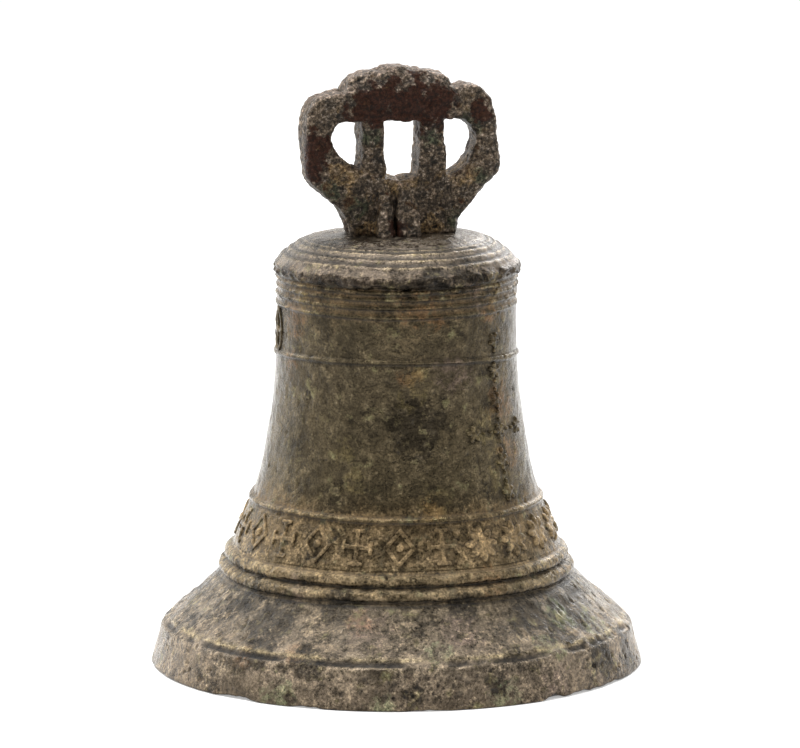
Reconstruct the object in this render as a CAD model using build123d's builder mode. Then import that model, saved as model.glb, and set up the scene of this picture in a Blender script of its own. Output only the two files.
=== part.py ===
from build123d import *

import os
from math import atan2, cos, degrees, radians, sin

# Small cast-bronze church bell with an openwork crown and a forged iron clapper on a leather baldric.
# Frame: +Z up along the bell's axis, +X along the flat crown, origin on the axis in the plane of the lip.
# All sizes are in millimetres and all angles in degrees.

# ---------------------------------------------------------------- bell wall, outside
mouth_radius = 120.0
lip_height = 19.7  # from the rest face up to the crease
lip_flare = 6.0  # how far the lip spreads below the crease
lip_land = 1.6  # upright edge below the flare of the lip
lip_round = 1.2
flare_top_radius = 86.0
flare_top_height = 44.0
band_bottom_radius = 79.0
band_bottom_height = 58.6
band_top_radius = 70.0
band_top_height = 81.8
waist_mid_radius = 60.2
waist_mid_height = 125.5
shoulder_radius = 57.4
shoulder_height = 190.0

# ---------------------------------------------------------------- bell wall, thickness
rest_width = 7.0  # flat ring that the bell stands on
bow_inset = 23.5  # from the mouth radius in to the thickest part of the bow
bow_height = 17.0
rib_wall = 8.6
band_wall = 7.6
waist_wall = 6.3
head_thickness = 10.5
inner_round = 12.0  # between the waist and the head, inside

# ---------------------------------------------------------------- head and mouldings
head_steps = 3
step_width = 3.8
step_rise = 3.2
dome_rise = 6.3  # from the last step up to the flat seat of the crown
seat_radius = 31.0
roll_radius = 3.4
roll_inset = 0.85  # of the roll's middle from the shoulder
lower_rib_radius = 2.7
lower_rib_height = 48.6
upper_rib_radius = 2.4
upper_rib_height = 55.3
band_wire_radius = 1.5
waist_wire_radius = 1.1
waist_wire_height = 153.5
belt_wire_radius = 0.9
belt_wire_count = 4
belt_wire_pitch = 3.9
belt_top_drop = 2.2  # from the shoulder down to the top wire

# ---------------------------------------------------------------- cast ornament
relief = 1.3
blank_half_depth = 5.2  # of an ornament before it is cut back to the relief
stem_half_depth = 20.0
motif_count = 23
first_rosette = 20.5  # degrees from the front (-Y) towards +X
rosette_count = 7
rosette_petals = 6
rosette_reach = 5.0  # from its centre to the centre of a petal
petal_radius = 2.8
rosette_eye = 2.6
lozenge_width = 14.0
lozenge_height = 17.0
lozenge_line = 2.2
crosslet_span = 15.0
crosslet_tip = 6.0
crosslet_root = 2.4
cross_angle = 41.0
cross_foot = 90.0
cross_pitch = 14.5
cross_florets = 6
cross_arm_place = 2  # floret that carries the arms, counted from 0 at the foot
cross_arm_spread = 16.0  # degrees
floret_petals = 5
floret_reach = 3.0
floret_petal_radius = 2.0
floret_eye = 2.0
stem_width = 2.2
plaque_angle = -91.0
plaque_height = 164.0
plaque_width = 14.0
plaque_length = 24.0

# ---------------------------------------------------------------- crown
crown_half_width = 47.5
crown_depth = 21.0
crown_chamfer = 2.0
sharp_from = 0.5  # edges above this rise are chamfered, the seam with the head is not
crown_round = 5.0  # top outer corner of a canon
canon_width = 10.8
canon_rise = 67.5  # all four rises are from the seat on the head
block_rise = 77.7
window_rise = 56.0
sill_rise = 28.0
foot_half_width = 25.0
foot_rise = 4.5
shoulder_half_width = 33.0  # where the slant of the foot turns out to the canon
shoulder_rise = 16.0
post_outer = 18.6
post_inner_top = 10.8
post_inner_foot = 8.1
window_round = 6.0
block_half_width = 26.5
block_depth = 24.0
block_round = 5.0
block_chamfer = 1.5
stub_radius = 8.0
stub_height = 3.2
stub_round = 1.0
stub_shift = -1.5
spur_inner = 1.6
spur_outer = 10.5
spur_reach = 20.5
spur_lip = 3.5
spur_rise = 23.0

# ---------------------------------------------------------------- clapper staple
staple_radius = 4.0
staple_drop = 23.0  # underside of the head down to the middle of the bar
staple_half_span = 14.0
staple_bend = 5.5
staple_root = 4.0  # how far the legs run on into the crown

# ---------------------------------------------------------------- leather baldric
strap_width = 15.0
strap_thickness = 3.2
strap_clearance = 0.3
baldric_length = 28.0  # middle of the staple bar to the middle of the clapper's eye bar
lap_margin = 2.0
rivet_radius = 1.5
rivet_head_radius = 3.4
rivet_head_height = 1.3
rivet_pitch = 11.0
rivet_round = 0.9
burr_radius = 3.2
burr_thickness = 1.0
peen_radius = 2.2
peen_height = 0.7

# ---------------------------------------------------------------- iron clapper
eye_bar_radius = 4.0
eye_half_span = 12.5
eye_shoulder_drop = 10.0
eye_length = 24.0
eye_root_radius = 7.0
eye_root_offset = 1.0
eye_bend = 4.5
shank_top_radius = 4.6
shank_foot_radius = 5.6
ball_radius = 16.0
ball_height = 22.5
flight_foot_radius = 4.0
clapper_gap = 3.0  # from the lip plane up to the end of the clapper

# ---------------------------------------------------------------- places that follow from the sizes
crease_radius = mouth_radius - lip_flare
roll_height = shoulder_height + roll_radius
last_step_height = shoulder_height + 2 * roll_radius + (head_steps - 1) * step_rise
dome_edge_radius = shoulder_radius - head_steps * step_width
head_top = last_step_height + dome_rise
head_underside = head_top - head_thickness
inner_shoulder_radius = shoulder_radius - waist_wall
band_tilt = degrees(atan2(band_bottom_radius - band_top_radius, band_top_height - band_bottom_height))
band_floor = upper_rib_height + upper_rib_radius
band_ceiling = band_top_height - band_wire_radius
motif_height = (band_floor + band_ceiling) / 2
motif_pitch = 360 / motif_count
staple_height = head_underside - staple_drop
eye_height = staple_height - baldric_length
baldric_middle = staple_height - baldric_length / 2
bar_radius = max(staple_radius, eye_bar_radius)
strap_inner = bar_radius + strap_clearance
strap_outer = strap_inner + strap_thickness
lap_outer = strap_outer + strap_thickness
window_top = head_top + window_rise
block_top = head_top + block_rise
sill = head_top + sill_rise


def cone_radius(height):
    """Radius of the cone between the top of the flare and the top of the inscription band."""
    if height < band_bottom_height:
        share = (height - flare_top_height) / (band_bottom_height - flare_top_height)
        return flare_top_radius + share * (band_bottom_radius - flare_top_radius)
    share = (height - band_bottom_height) / (band_top_height - band_bottom_height)
    return band_bottom_radius + share * (band_top_radius - band_bottom_radius)


def waist_curve(grow=0.0):
    """Outside of the waist from the band up to the shoulder, moved out by grow."""
    slope = (band_top_radius - band_bottom_radius, band_top_height - band_bottom_height)
    return Spline(
        (band_top_radius + grow, band_top_height),
        (waist_mid_radius + grow, waist_mid_height),
        (shoulder_radius + grow, shoulder_height),
        tangents=[slope, (0, 1)],
    )


def radius_on(curve, height):
    """Radius of a rising curve at that height, found by halving."""
    low, high = 0.0, 1.0
    while high - low > 1e-6:
        middle = (low + high) / 2
        if (curve @ middle).Y < height:
            low = middle
        else:
            high = middle
    return (curve @ low).X


def skin_plane(angle, radius, height, tilt=0.0):
    """Plane at that angle from the front, its local x round the bell and its normal outwards."""
    turn, lean = radians(angle), radians(tilt)
    return Plane(
        origin=(radius * sin(turn), -radius * cos(turn), height),
        x_dir=(cos(turn), sin(turn), 0),
        z_dir=(sin(turn) * cos(lean), -cos(turn) * cos(lean), sin(lean)),
    )


def flower(count, reach, petal, eye):
    """Ring of round petals about a round eye."""
    with PolarLocations(reach, count):
        Circle(petal)
    Circle(eye)


# ================================================================ bell body: wall, head, mouldings
with BuildPart() as bell_body:
    with BuildSketch(Plane.XZ):
        with BuildLine():
            lip = Polyline(
                (mouth_radius - rest_width, 0),
                (mouth_radius, 0),
                (mouth_radius, lip_land),
                (crease_radius, lip_height),
                (flare_top_radius, flare_top_height),
                (band_bottom_radius, band_bottom_height),
                (band_top_radius, band_top_height),
            )
            waist = waist_curve()
            corners = [waist @ 1, (shoulder_radius, shoulder_height + 2 * roll_radius)]
            for step in range(1, head_steps + 1):
                tread = shoulder_height + 2 * roll_radius + (step - 1) * step_rise
                corners.append((shoulder_radius - step * step_width, tread))
                if step < head_steps:
                    corners.append((shoulder_radius - step * step_width, tread + step_rise))
            Polyline(*corners)
            TangentArc((seat_radius, head_top), (dome_edge_radius, last_step_height), tangent=(1, 0))
            roof = Polyline(
                (seat_radius, head_top),
                (0, head_top),
                (0, head_underside),
                (inner_shoulder_radius - inner_round, head_underside),
            )
            corner = TangentArc(
                roof @ 1,
                (inner_shoulder_radius, head_underside - inner_round),
                tangent=(1, 0),
            )
            inside = Spline(
                corner @ 1,
                (waist_mid_radius - waist_wall, waist_mid_height),
                (band_top_radius - band_wall, band_top_height),
                (band_bottom_radius - rib_wall, band_bottom_height),
                (mouth_radius - bow_inset, bow_height),
            )
            Line(inside @ 1, lip @ 0)
        make_face()
    revolve(axis=Axis.Z)
    with BuildSketch(Plane.XZ):
        with Locations((shoulder_radius - roll_inset, roll_height)):
            Circle(roll_radius)
        with Locations((cone_radius(lower_rib_height), lower_rib_height)):
            Circle(lower_rib_radius)
        with Locations((cone_radius(upper_rib_height), upper_rib_height)):
            Circle(upper_rib_radius)
        with Locations((band_top_radius, band_top_height)):
            Circle(band_wire_radius)
        with Locations((radius_on(waist, waist_wire_height), waist_wire_height)):
            Circle(waist_wire_radius)
        for wire in range(belt_wire_count):
            wire_height = shoulder_height - belt_top_drop - wire * belt_wire_pitch
            with Locations((radius_on(waist, wire_height), wire_height)):
                Circle(belt_wire_radius)
    revolve(axis=Axis.Z)
    with BuildSketch(Plane.XY.offset(head_underside)):
        with Locations((-staple_half_span, 0), (staple_half_span, 0)):
            Circle(staple_radius)
    extrude(amount=head_thickness, mode=Mode.SUBTRACT)
    rest_edge = bell_body.faces().sort_by(Axis.Z)[0].outer_wire().edges()
    fillet(rest_edge, lip_round)
bell_body.part.label = "bell_body"


# ================================================================ ornament, cast as a thin relief
def lozenge(across, up, mode):
    """Diamond of those half sizes."""
    Polygon((-across, 0), (0, -up), (across, 0), (0, up), align=None, mode=mode)


def motif(place):
    """Outline of the motif at that place in the band, counted from the first rosette."""
    if place < rosette_count:
        flower(rosette_petals, rosette_reach, petal_radius, rosette_eye)
    elif place % 2:
        lozenge(lozenge_width / 2, lozenge_height / 2, Mode.ADD)
        lozenge(lozenge_width / 2 - lozenge_line, lozenge_height / 2 - lozenge_line, Mode.SUBTRACT)
        Circle(lozenge_line)
    else:
        reach, root, tip = crosslet_span / 2, crosslet_root / 2, crosslet_tip / 2
        with PolarLocations(0, 4):
            Polygon((0, -root), (reach, -tip), (reach, tip), (0, root), align=None)


with BuildPart() as band_ornament:
    for place in range(motif_count):
        band_plane = skin_plane(
            first_rosette + place * motif_pitch, cone_radius(motif_height), motif_height, band_tilt
        )
        with BuildSketch(band_plane):
            motif(place)
        extrude(amount=blank_half_depth, both=True)
    with BuildSketch(Plane.XZ):
        with BuildLine():
            Polyline(
                (cone_radius(band_bottom_height), band_bottom_height),
                (cone_radius(band_bottom_height) + relief, band_bottom_height),
                (cone_radius(band_ceiling) + relief, band_ceiling),
                (cone_radius(band_ceiling), band_ceiling),
                close=True,
            )
        make_face()
    revolve(axis=Axis.Z, mode=Mode.INTERSECT)
band_ornament.part.label = "band_ornament"


# Thin layer over the waist in which its reliefs stand.
with BuildPart() as waist_layer:
    with BuildSketch(Plane.XZ):
        with BuildLine():
            skin = waist_curve()
            proud = waist_curve(relief)
            Line(skin @ 0, proud @ 0)
            Line(skin @ 1, proud @ 1)
        make_face()
    revolve(axis=Axis.Z)

with BuildPart() as waist_cross:
    arm_height = cross_foot + cross_arm_place * cross_pitch
    arm_radius = radius_on(waist, arm_height)
    column = (cross_florets - 1) * cross_pitch
    stations = [(0, cross_foot + floret * cross_pitch) for floret in range(cross_florets)]
    stations += [(-cross_arm_spread, arm_height), (cross_arm_spread, arm_height)]
    for turn, station in stations:
        with BuildSketch(skin_plane(cross_angle + turn, radius_on(waist, station), station)):
            flower(floret_petals, floret_reach, floret_petal_radius, floret_eye)
        extrude(amount=blank_half_depth, both=True)
    with BuildSketch(skin_plane(cross_angle, arm_radius, arm_height)):
        Rectangle(2 * arm_radius * sin(radians(cross_arm_spread)), stem_width)
        with Locations((0, cross_foot + column / 2 - arm_height)):
            Rectangle(stem_width, column)
    extrude(amount=stem_half_depth, both=True)
    add(waist_layer.part, mode=Mode.INTERSECT)
    add(bell_body.part, mode=Mode.SUBTRACT)
waist_cross.part.label = "waist_cross"

with BuildPart() as waist_plaque:
    with BuildSketch(skin_plane(plaque_angle, radius_on(waist, plaque_height), plaque_height)):
        Ellipse(plaque_width / 2, plaque_length / 2)
        Ellipse(plaque_width / 2 - stem_width, plaque_length / 2 - stem_width, mode=Mode.SUBTRACT)
        Rectangle(stem_width, plaque_length - stem_width)
        Rectangle(plaque_width - stem_width, stem_width)
    extrude(amount=blank_half_depth, both=True)
    add(waist_layer.part, mode=Mode.INTERSECT)
    add(bell_body.part, mode=Mode.SUBTRACT)
waist_plaque.part.label = "waist_plaque"

# ================================================================ crown
with BuildPart() as crown_blank:
    with BuildSketch(Plane.XZ) as crown_face:
        with BuildLine():
            Polyline(
                (0, head_top),
                (foot_half_width, head_top),
                (foot_half_width, head_top + foot_rise),
                (shoulder_half_width, head_top + shoulder_rise),
                (crown_half_width, sill),
                (crown_half_width, head_top + canon_rise),
                (0, head_top + canon_rise),
                close=True,
            )
        make_face()
        top_corner = crown_face.vertices().sort_by(Axis.Y)[-2:].sort_by(Axis.X)[-1]
        fillet(top_corner, crown_round)
        side_width = crown_half_width - canon_width - post_outer
        with BuildSketch(mode=Mode.SUBTRACT) as windows:
            with Locations((post_outer + side_width / 2, (window_top + sill) / 2)):
                Rectangle(side_width, window_top - sill)
            fillet(windows.vertices().group_by(Axis.Y)[-1].sort_by(Axis.X)[-1], window_round)
            Polygon(
                (0, sill),
                (post_inner_foot, sill),
                (post_inner_top, window_top),
                (0, window_top),
                align=None,
            )
        mirror(about=Plane.YZ)
    extrude(amount=crown_depth / 2, both=True)
    flat_faces = crown_blank.faces().filter_by(Axis.Y)
    sharp_edges = flat_faces.edges().filter_by(lambda edge: edge.center().Z > head_top + sharp_from)
    chamfer(sharp_edges, crown_chamfer)


def crown_piece(left, right, bottom, top):
    """Cut the crown down to the piece between two upright planes and two levels."""
    add(crown_blank.part)
    with Locations(((left + right) / 2, 0, (bottom + top) / 2)):
        Box(right - left, 2 * crown_depth, top - bottom, mode=Mode.INTERSECT)


with BuildPart() as crown_base:
    crown_piece(-2 * crown_half_width, 2 * crown_half_width, head_top, sill)
    with BuildSketch(Plane.YZ.offset(spur_inner)):
        with BuildLine():
            Polyline(
                (0, head_top),
                (spur_reach, head_top),
                (spur_reach, head_top + spur_lip),
                (crown_depth / 2, head_top + spur_rise),
                (0, head_top + spur_rise),
                close=True,
            )
        make_face()
    extrude(amount=spur_outer - spur_inner)
    mirror(about=Plane.XZ)
    mirror(about=Plane.YZ)
    with BuildSketch(Plane.XY.offset(head_top)):
        with Locations((-staple_half_span, 0), (staple_half_span, 0)):
            Circle(staple_radius)
    extrude(amount=staple_root, mode=Mode.SUBTRACT)
crown_base.part.label = "crown_base"

with BuildPart() as left_canon:
    crown_piece(-2 * crown_half_width, -block_half_width, sill, block_top)
left_canon.part.label = "left_canon"

with BuildPart() as right_canon:
    crown_piece(block_half_width, 2 * crown_half_width, sill, block_top)
right_canon.part.label = "right_canon"

with BuildPart() as left_post:
    crown_piece(-block_half_width, 0, sill, window_top)
left_post.part.label = "left_post"

with BuildPart() as right_post:
    crown_piece(0, block_half_width, sill, window_top)
right_post.part.label = "right_post"

with BuildPart() as crown_head:
    with BuildSketch(Plane.XZ) as head_face:
        with Locations((0, (window_top + block_top) / 2)):
            Rectangle(2 * block_half_width, block_top - window_top)
        fillet(head_face.vertices().group_by(Axis.Y)[-1], block_round)
    extrude(amount=block_depth / 2, both=True)
    chamfer(crown_head.faces().sort_by(Axis.Z)[-1].edges().filter_by(Axis.X), block_chamfer)
crown_head.part.label = "crown_head"

with BuildPart() as sprue_stub:
    with BuildSketch(Plane.XY.offset(block_top)):
        with Locations((stub_shift, 0)):
            Circle(stub_radius)
    extrude(amount=stub_height)
    fillet(sprue_stub.edges().group_by(Axis.Z)[-1], stub_round)
sprue_stub.part.label = "sprue_stub"

# ================================================================ staple that the clapper hangs from
with BuildPart() as clapper_staple:
    leg_top = head_top + staple_root
    with BuildLine(Plane.XZ) as staple_line:
        FilletPolyline(
            (-staple_half_span, leg_top),
            (-staple_half_span, staple_height),
            (staple_half_span, staple_height),
            (staple_half_span, leg_top),
            radius=staple_bend,
        )
    with BuildSketch(Plane(origin=staple_line.line @ 0, z_dir=staple_line.line % 0)):
        Circle(staple_radius)
    sweep()
clapper_staple.part.label = "clapper_staple"

# ================================================================ leather baldric, riveted
rivet_heights = [baldric_middle - rivet_pitch / 2, baldric_middle + rivet_pitch / 2]
rivet_places = [(0, height) for height in rivet_heights]

with BuildPart() as baldric_strap:
    with BuildSketch(Plane.YZ):
        with Locations((0, baldric_middle)):
            SlotCenterToCenter(baldric_length, 2 * strap_outer, rotation=90)
        with Locations(((strap_outer + lap_outer) / 2, baldric_middle)):
            Rectangle(strap_thickness, baldric_length - 2 * lap_margin)
        with Locations((0, baldric_middle)):
            SlotCenterToCenter(baldric_length, 2 * strap_inner, rotation=90, mode=Mode.SUBTRACT)
    extrude(amount=strap_width / 2, both=True)
    with BuildSketch(Plane.XZ.offset(-lap_outer)):
        with Locations(*rivet_places):
            Circle(rivet_radius)
    extrude(amount=2 * strap_thickness, mode=Mode.SUBTRACT)
baldric_strap.part.label = "baldric_strap"

with BuildPart() as baldric_rivets:
    with BuildSketch(Plane.XZ.offset(-lap_outer - rivet_head_height)):
        with Locations(*rivet_places):
            Circle(rivet_head_radius)
    extrude(amount=rivet_head_height)
    fillet(baldric_rivets.edges().group_by(Axis.Y)[-1], rivet_round)
    with BuildSketch(Plane.XZ.offset(-lap_outer)):
        with Locations(*rivet_places):
            Circle(rivet_radius)
    extrude(amount=2 * strap_thickness + burr_thickness)
    with BuildSketch(Plane.XZ.offset(burr_thickness - strap_inner)):
        with Locations(*rivet_places):
            Circle(peen_radius)
    extrude(amount=peen_height)
baldric_rivets.part.label = "baldric_rivets"

with BuildPart() as rivet_burrs:
    with BuildSketch(Plane.XZ.offset(-strap_inner)):
        with Locations(*rivet_places):
            Circle(burr_radius)
            Circle(rivet_radius, mode=Mode.SUBTRACT)
    extrude(amount=burr_thickness)
rivet_burrs.part.label = "rivet_burrs"

# ================================================================ clapper
eye_foot = eye_height - eye_length
ball_top = ball_height + ball_radius
ball_bottom = ball_height - ball_radius

with BuildPart() as clapper_shank:
    with BuildLine(Plane.XZ) as eye_line:
        FilletPolyline(
            (-eye_root_offset, eye_foot),
            (-eye_half_span, eye_height - eye_shoulder_drop),
            (-eye_half_span, eye_height),
            (eye_half_span, eye_height),
            (eye_half_span, eye_height - eye_shoulder_drop),
            (eye_root_offset, eye_foot),
            radius=eye_bend,
        )
    with BuildSketch(Plane(origin=eye_line.line @ 0, z_dir=eye_line.line % 0)):
        Circle(eye_bar_radius)
    sweep()
    with BuildSketch(Plane.XZ):
        with BuildLine():
            Polyline(
                (0, eye_foot),
                (shank_top_radius, eye_foot),
                (shank_foot_radius, ball_top),
                (shank_foot_radius, ball_bottom),
                (flight_foot_radius, clapper_gap),
                (0, clapper_gap),
                close=True,
            )
        make_face()
    revolve(axis=Axis.Z)
    with Locations((0, 0, eye_foot)):
        Sphere(eye_root_radius)
clapper_shank.part.label = "clapper_shank"

with BuildPart() as clapper_ball:
    with Locations((0, 0, ball_height)):
        Sphere(ball_radius)
    with BuildSketch(Plane.XY):
        Circle(shank_foot_radius)
    extrude(amount=ball_top, mode=Mode.SUBTRACT)
clapper_ball.part.label = "clapper_ball"

# ================================================================ one file for each piece
os.makedirs("parts", exist_ok=True)
pieces = [
    bell_body,
    band_ornament,
    waist_cross,
    waist_plaque,
    crown_base,
    crown_head,
    left_canon,
    right_canon,
    left_post,
    right_post,
    sprue_stub,
    clapper_staple,
    baldric_strap,
    baldric_rivets,
    rivet_burrs,
    clapper_shank,
    clapper_ball,
]
for piece in pieces:
    export_step(piece.part, f"parts/{piece.part.label}.step")
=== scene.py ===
# %% [markdown]
# # A small church bell, cast in bronze
# This lesson builds an old bell that stands on its lip. The bell and its crown are one rough casting, so
# the work goes into a surface that looks poured in sand and then left outdoors: lumps, wavy mouldings, pits,
# dirt. Inside it an iron clapper swings on a leather baldric, which hangs from an iron staple.
# The engineering model is loaded first. It fixes every size, and each piece made here stands in for one of
# its nodes or rides on one of its bodies.

# %% Load the frame
import math

import bpy
import numpy as np
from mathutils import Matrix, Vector, kdtree


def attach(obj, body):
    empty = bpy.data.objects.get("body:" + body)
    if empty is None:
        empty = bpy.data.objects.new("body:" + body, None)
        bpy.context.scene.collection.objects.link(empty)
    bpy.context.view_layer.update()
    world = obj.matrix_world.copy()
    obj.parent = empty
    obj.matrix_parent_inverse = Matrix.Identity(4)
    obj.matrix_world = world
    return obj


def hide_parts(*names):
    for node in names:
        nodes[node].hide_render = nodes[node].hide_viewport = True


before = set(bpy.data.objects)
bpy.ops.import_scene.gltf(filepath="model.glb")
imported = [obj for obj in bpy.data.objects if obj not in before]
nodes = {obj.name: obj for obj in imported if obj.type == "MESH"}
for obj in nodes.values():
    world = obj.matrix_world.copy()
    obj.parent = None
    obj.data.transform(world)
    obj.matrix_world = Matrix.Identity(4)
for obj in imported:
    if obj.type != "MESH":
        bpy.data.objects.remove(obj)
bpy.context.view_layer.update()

# %% [markdown]
# ## Small tools
# Operators act on whatever is selected, and the loaded nodes start selected, so every step begins from a
# clean selection. These few helpers keep that in one place. Faces and vertices are picked by where they are,
# as a modeller picks them by eye.

# %% Tools for selecting and editing
MM = 0.001
FULL_TURN = 2 * math.pi


def leave_all():
    """Go to object mode with nothing selected."""
    if bpy.context.object and bpy.context.object.mode != "OBJECT":
        bpy.ops.object.mode_set(mode="OBJECT")
    bpy.ops.object.select_all(action="DESELECT")


def take(piece):
    """Make the piece the only selected object."""
    leave_all()
    piece.select_set(True)
    bpy.context.view_layer.objects.active = piece


def enter(piece, action="DESELECT"):
    """Open the piece in edit mode, with everything or nothing selected."""
    take(piece)
    bpy.ops.object.mode_set(mode="EDIT")
    bpy.ops.mesh.select_mode(type="VERT")
    bpy.ops.mesh.select_all(action=action)


def pick(piece, test, kind="FACE"):
    """Select the faces or vertices whose centre passes the test, then open edit mode."""
    enter(piece)
    bpy.ops.mesh.select_mode(type=kind)
    bpy.ops.object.mode_set(mode="OBJECT")
    items = piece.data.polygons if kind == "FACE" else piece.data.vertices
    for item in items:
        item.select = test(item.center if kind == "FACE" else item.co)
    bpy.ops.object.mode_set(mode="EDIT")


def settle(piece):
    """Leave edit mode and put the object's own place, turn and scale into its mesh."""
    leave_all()
    take(piece)
    bpy.ops.object.transform_apply(location=True, rotation=True, scale=True)


def apply_all(piece):
    """Apply the piece's modifiers from the top down."""
    take(piece)
    for modifier in list(piece.modifiers):
        bpy.ops.object.modifier_apply(modifier=modifier.name)


def points_of(piece):
    """The vertices' places as an array, one row each."""
    places = np.zeros(len(piece.data.vertices) * 3)
    piece.data.vertices.foreach_get("co", places)
    return places.reshape(-1, 3)


def put_points(piece, places):
    """Write the vertices' places back."""
    piece.data.vertices.foreach_set("co", places.ravel())
    piece.data.update()


def normals_of(piece):
    """The vertices' normals as an array."""
    normals = np.zeros(len(piece.data.vertices) * 3)
    piece.data.vertices.foreach_get("normal", normals)
    return normals.reshape(-1, 3)


def store(piece, name, values):
    """Store one value for each vertex under that name, for the finishes to read."""
    layer = piece.data.attributes.new(name, "FLOAT", "POINT")
    layer.data.foreach_set("value", np.ascontiguousarray(values))


def joined(name, pieces):
    """Join the pieces into one object of that name."""
    leave_all()
    for piece in pieces:
        piece.select_set(True)
    bpy.context.view_layer.objects.active = pieces[0]
    bpy.ops.object.join()
    whole = bpy.context.object
    whole.name = name
    whole.data.name = name
    return whole


def count(piece):
    """Say what a finished piece is made of."""
    corners = sum(len(face.vertices) - 2 for face in piece.data.polygons)
    print(f"{piece.name}: {len(piece.data.vertices)} vertices, {corners} triangles")


def smooth(piece):
    """Shade the piece as one soft surface and say what it is made of."""
    take(piece)
    bpy.ops.object.shade_smooth()
    count(piece)


def traced(name, points):
    """Draw a line through the points, in millimetres, by extruding a vertex from each to the next."""
    leave_all()
    bpy.ops.mesh.primitive_plane_add(size=MM)
    piece = bpy.context.object
    piece.name = name
    enter(piece, "SELECT")
    bpy.ops.mesh.merge(type="CENTER")
    here = Vector(points[0]) * MM
    bpy.ops.transform.translate(value=here)
    for point in points[1:]:
        there = Vector(point) * MM
        bpy.ops.mesh.extrude_region_move(TRANSFORM_OT_translate={"value": there - here})
        here = there
    return piece


def face_outwards(piece):
    """Turn every face of a closed piece outwards."""
    enter(piece, "SELECT")
    bpy.ops.mesh.normals_make_consistent(inside=False)
    leave_all()


# %% [markdown]
# ## The bell's outline
# A bell is swept up with a strickle board, so its whole outside is one outline turned on an axis. The plain
# wall runs through a few stations. The ribs and wires are half-round strings of wax laid on it, and a
# formula adds each one to the wall. The outline is kept as a radius at each height up the side, and as a
# height at each radius over the head, where it lies almost flat.

# %% Stations of the wall and its mouldings, in millimetres
WALL = [
    (119.3, 0.0), (114.0, 19.6), (103.9, 27.9), (94.3, 36.0), (87.6, 42.6), (84.6, 44.4), (79.8, 57.6),
    (75.4, 68.3), (71.0, 79.6), (69.2, 83.5), (65.4, 95.7), (62.8, 110.6), (60.4, 125.5), (58.6, 140.4),
    (57.7, 161.0), (57.2, 190.0), (57.2, 198.0),
]
DOME = [
    (0.0, 209.3), (20.0, 209.3), (31.0, 209.0), (41.0, 207.4), (45.8, 205.4), (49.5, 203.0),
    (53.6, 200.2), (56.8, 197.6), (59.4, 195.0),
]
# Each moulding is its height on the wall, half its width and how far it stands out.
RIBS = [(47.9, 3.1, 2.9), (54.5, 2.8, 2.5), (44.0, 0.9, 0.5)]
WIRES = [(81.6, 1.4, 1.5), (154.0, 1.3, 1.1), (176.3, 1.0, 0.9), (180.9, 0.95, 0.9), (184.8, 0.9, 0.9),
         (188.2, 0.9, 0.9)]
ROLL = (193.2, 3.3, 2.6)
HEAD_RINGS = [(55.4, 1.2, 0.7), (51.6, 1.1, 0.8), (47.6, 1.1, 0.7), (44.6, 0.9, 0.4)]


def half_round(where, moulding):
    """How far a half-round moulding stands out at that place."""
    middle, half_width, proud = moulding
    across = np.clip(1 - ((where - middle) / half_width) ** 2, 0, None)
    return proud * np.sqrt(across)


def eased(where, stations, across, up, reach):
    """Value between stations, with the corners eased over a short reach each way."""
    x = np.array([station[across] for station in stations])
    y = np.array([station[up] for station in stations])
    shifts = np.linspace(-reach, reach, 9)
    return sum(np.interp(where + shift, x, y) for shift in shifts) / len(shifts)


def wall_radius(height):
    """Radius of the plain wall: crisp corners low down, a long soft curve in the waist."""
    low = eased(height, WALL, 1, 0, 0.9)
    waist = eased(height, WALL, 1, 0, 7.0)
    share = np.clip((height - 86) / 8, 0, 1)
    return low * (1 - share) + waist * share


def outside_radius(height):
    """Radius of the wall with its mouldings."""
    return wall_radius(height) + sum(half_round(height, one) for one in RIBS + WIRES + [ROLL])


def head_height(radius):
    """Height of the head with its rings."""
    return eased(radius, DOME, 0, 1, 1.2) + sum(half_round(radius, ring) for ring in HEAD_RINGS)


for height in (0.0, 125.0):
    print("outside radius at", height, "mm:", round(float(outside_radius(height)), 1))

# %% [markdown]
# ## Turning the outline
# The outline is drawn by extruding one vertex from point to point. Spin could turn it, but it slows down
# with every step it adds, so a Screw modifier with no rise turns it instead, in hundreds of steps at once.
# Points stand close together on the ribs and wires and further apart on the plain wall. The casting is made
# in two closed shells that overlap in the groove above the ribs, because one shell would need either too
# many faces or too coarse a lip: the skirt, which is wide and pitted, and the bell above it.

# %% Draw and spin an outline
SEAM = 58.4  # the groove between the ribs and the band
OVERLAP = 0.6
HEAD_UNDERSIDE = 199.0
SKIRT_STEPS, BARREL_STEPS = 900, 430


def spun(name, outline, steps):
    """Turn an outline of (radius, height) points, in millimetres, into a closed mesh."""
    piece = traced(name, [(radius, 0, height) for radius, height in outline])
    piece.data.name = name
    leave_all()
    turn = piece.modifiers.new("Turn", "SCREW")
    turn.axis = "Z"
    turn.angle = FULL_TURN
    turn.steps = turn.render_steps = steps
    turn.use_merge_vertices = True
    turn.merge_threshold = 1e-6
    apply_all(piece)
    enter(piece, "SELECT")
    bpy.ops.mesh.remove_doubles(threshold=1e-6)
    face_outwards(piece)
    return piece


def climb(low, high, plain, fine):
    """Heights up the wall, in fine steps on a moulding and plain steps between."""
    heights = [low]
    while heights[-1] < high:
        here = heights[-1]
        close = any(abs(here + plain / 2 - one[0]) < one[1] + plain for one in RIBS + WIRES + [ROLL])
        heights.append(min(high, here + (fine if close else plain)))
    return np.array(heights)


INSIDE = [(112.5, 0.0), (97.0, 17.0), (86.0, 32.0), (70.4, 58.6), (62.4, 81.8), (55.6, 112.0),
          (53.0, 140.0), (51.3, 186.0)]


def inside_points(low, high, step):
    """Points down the inner wall, from high to low."""
    heights = np.arange(high, low, -step)
    return [(float(eased(height, INSIDE, 1, 0, 3.0)), float(height)) for height in heights]


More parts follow.
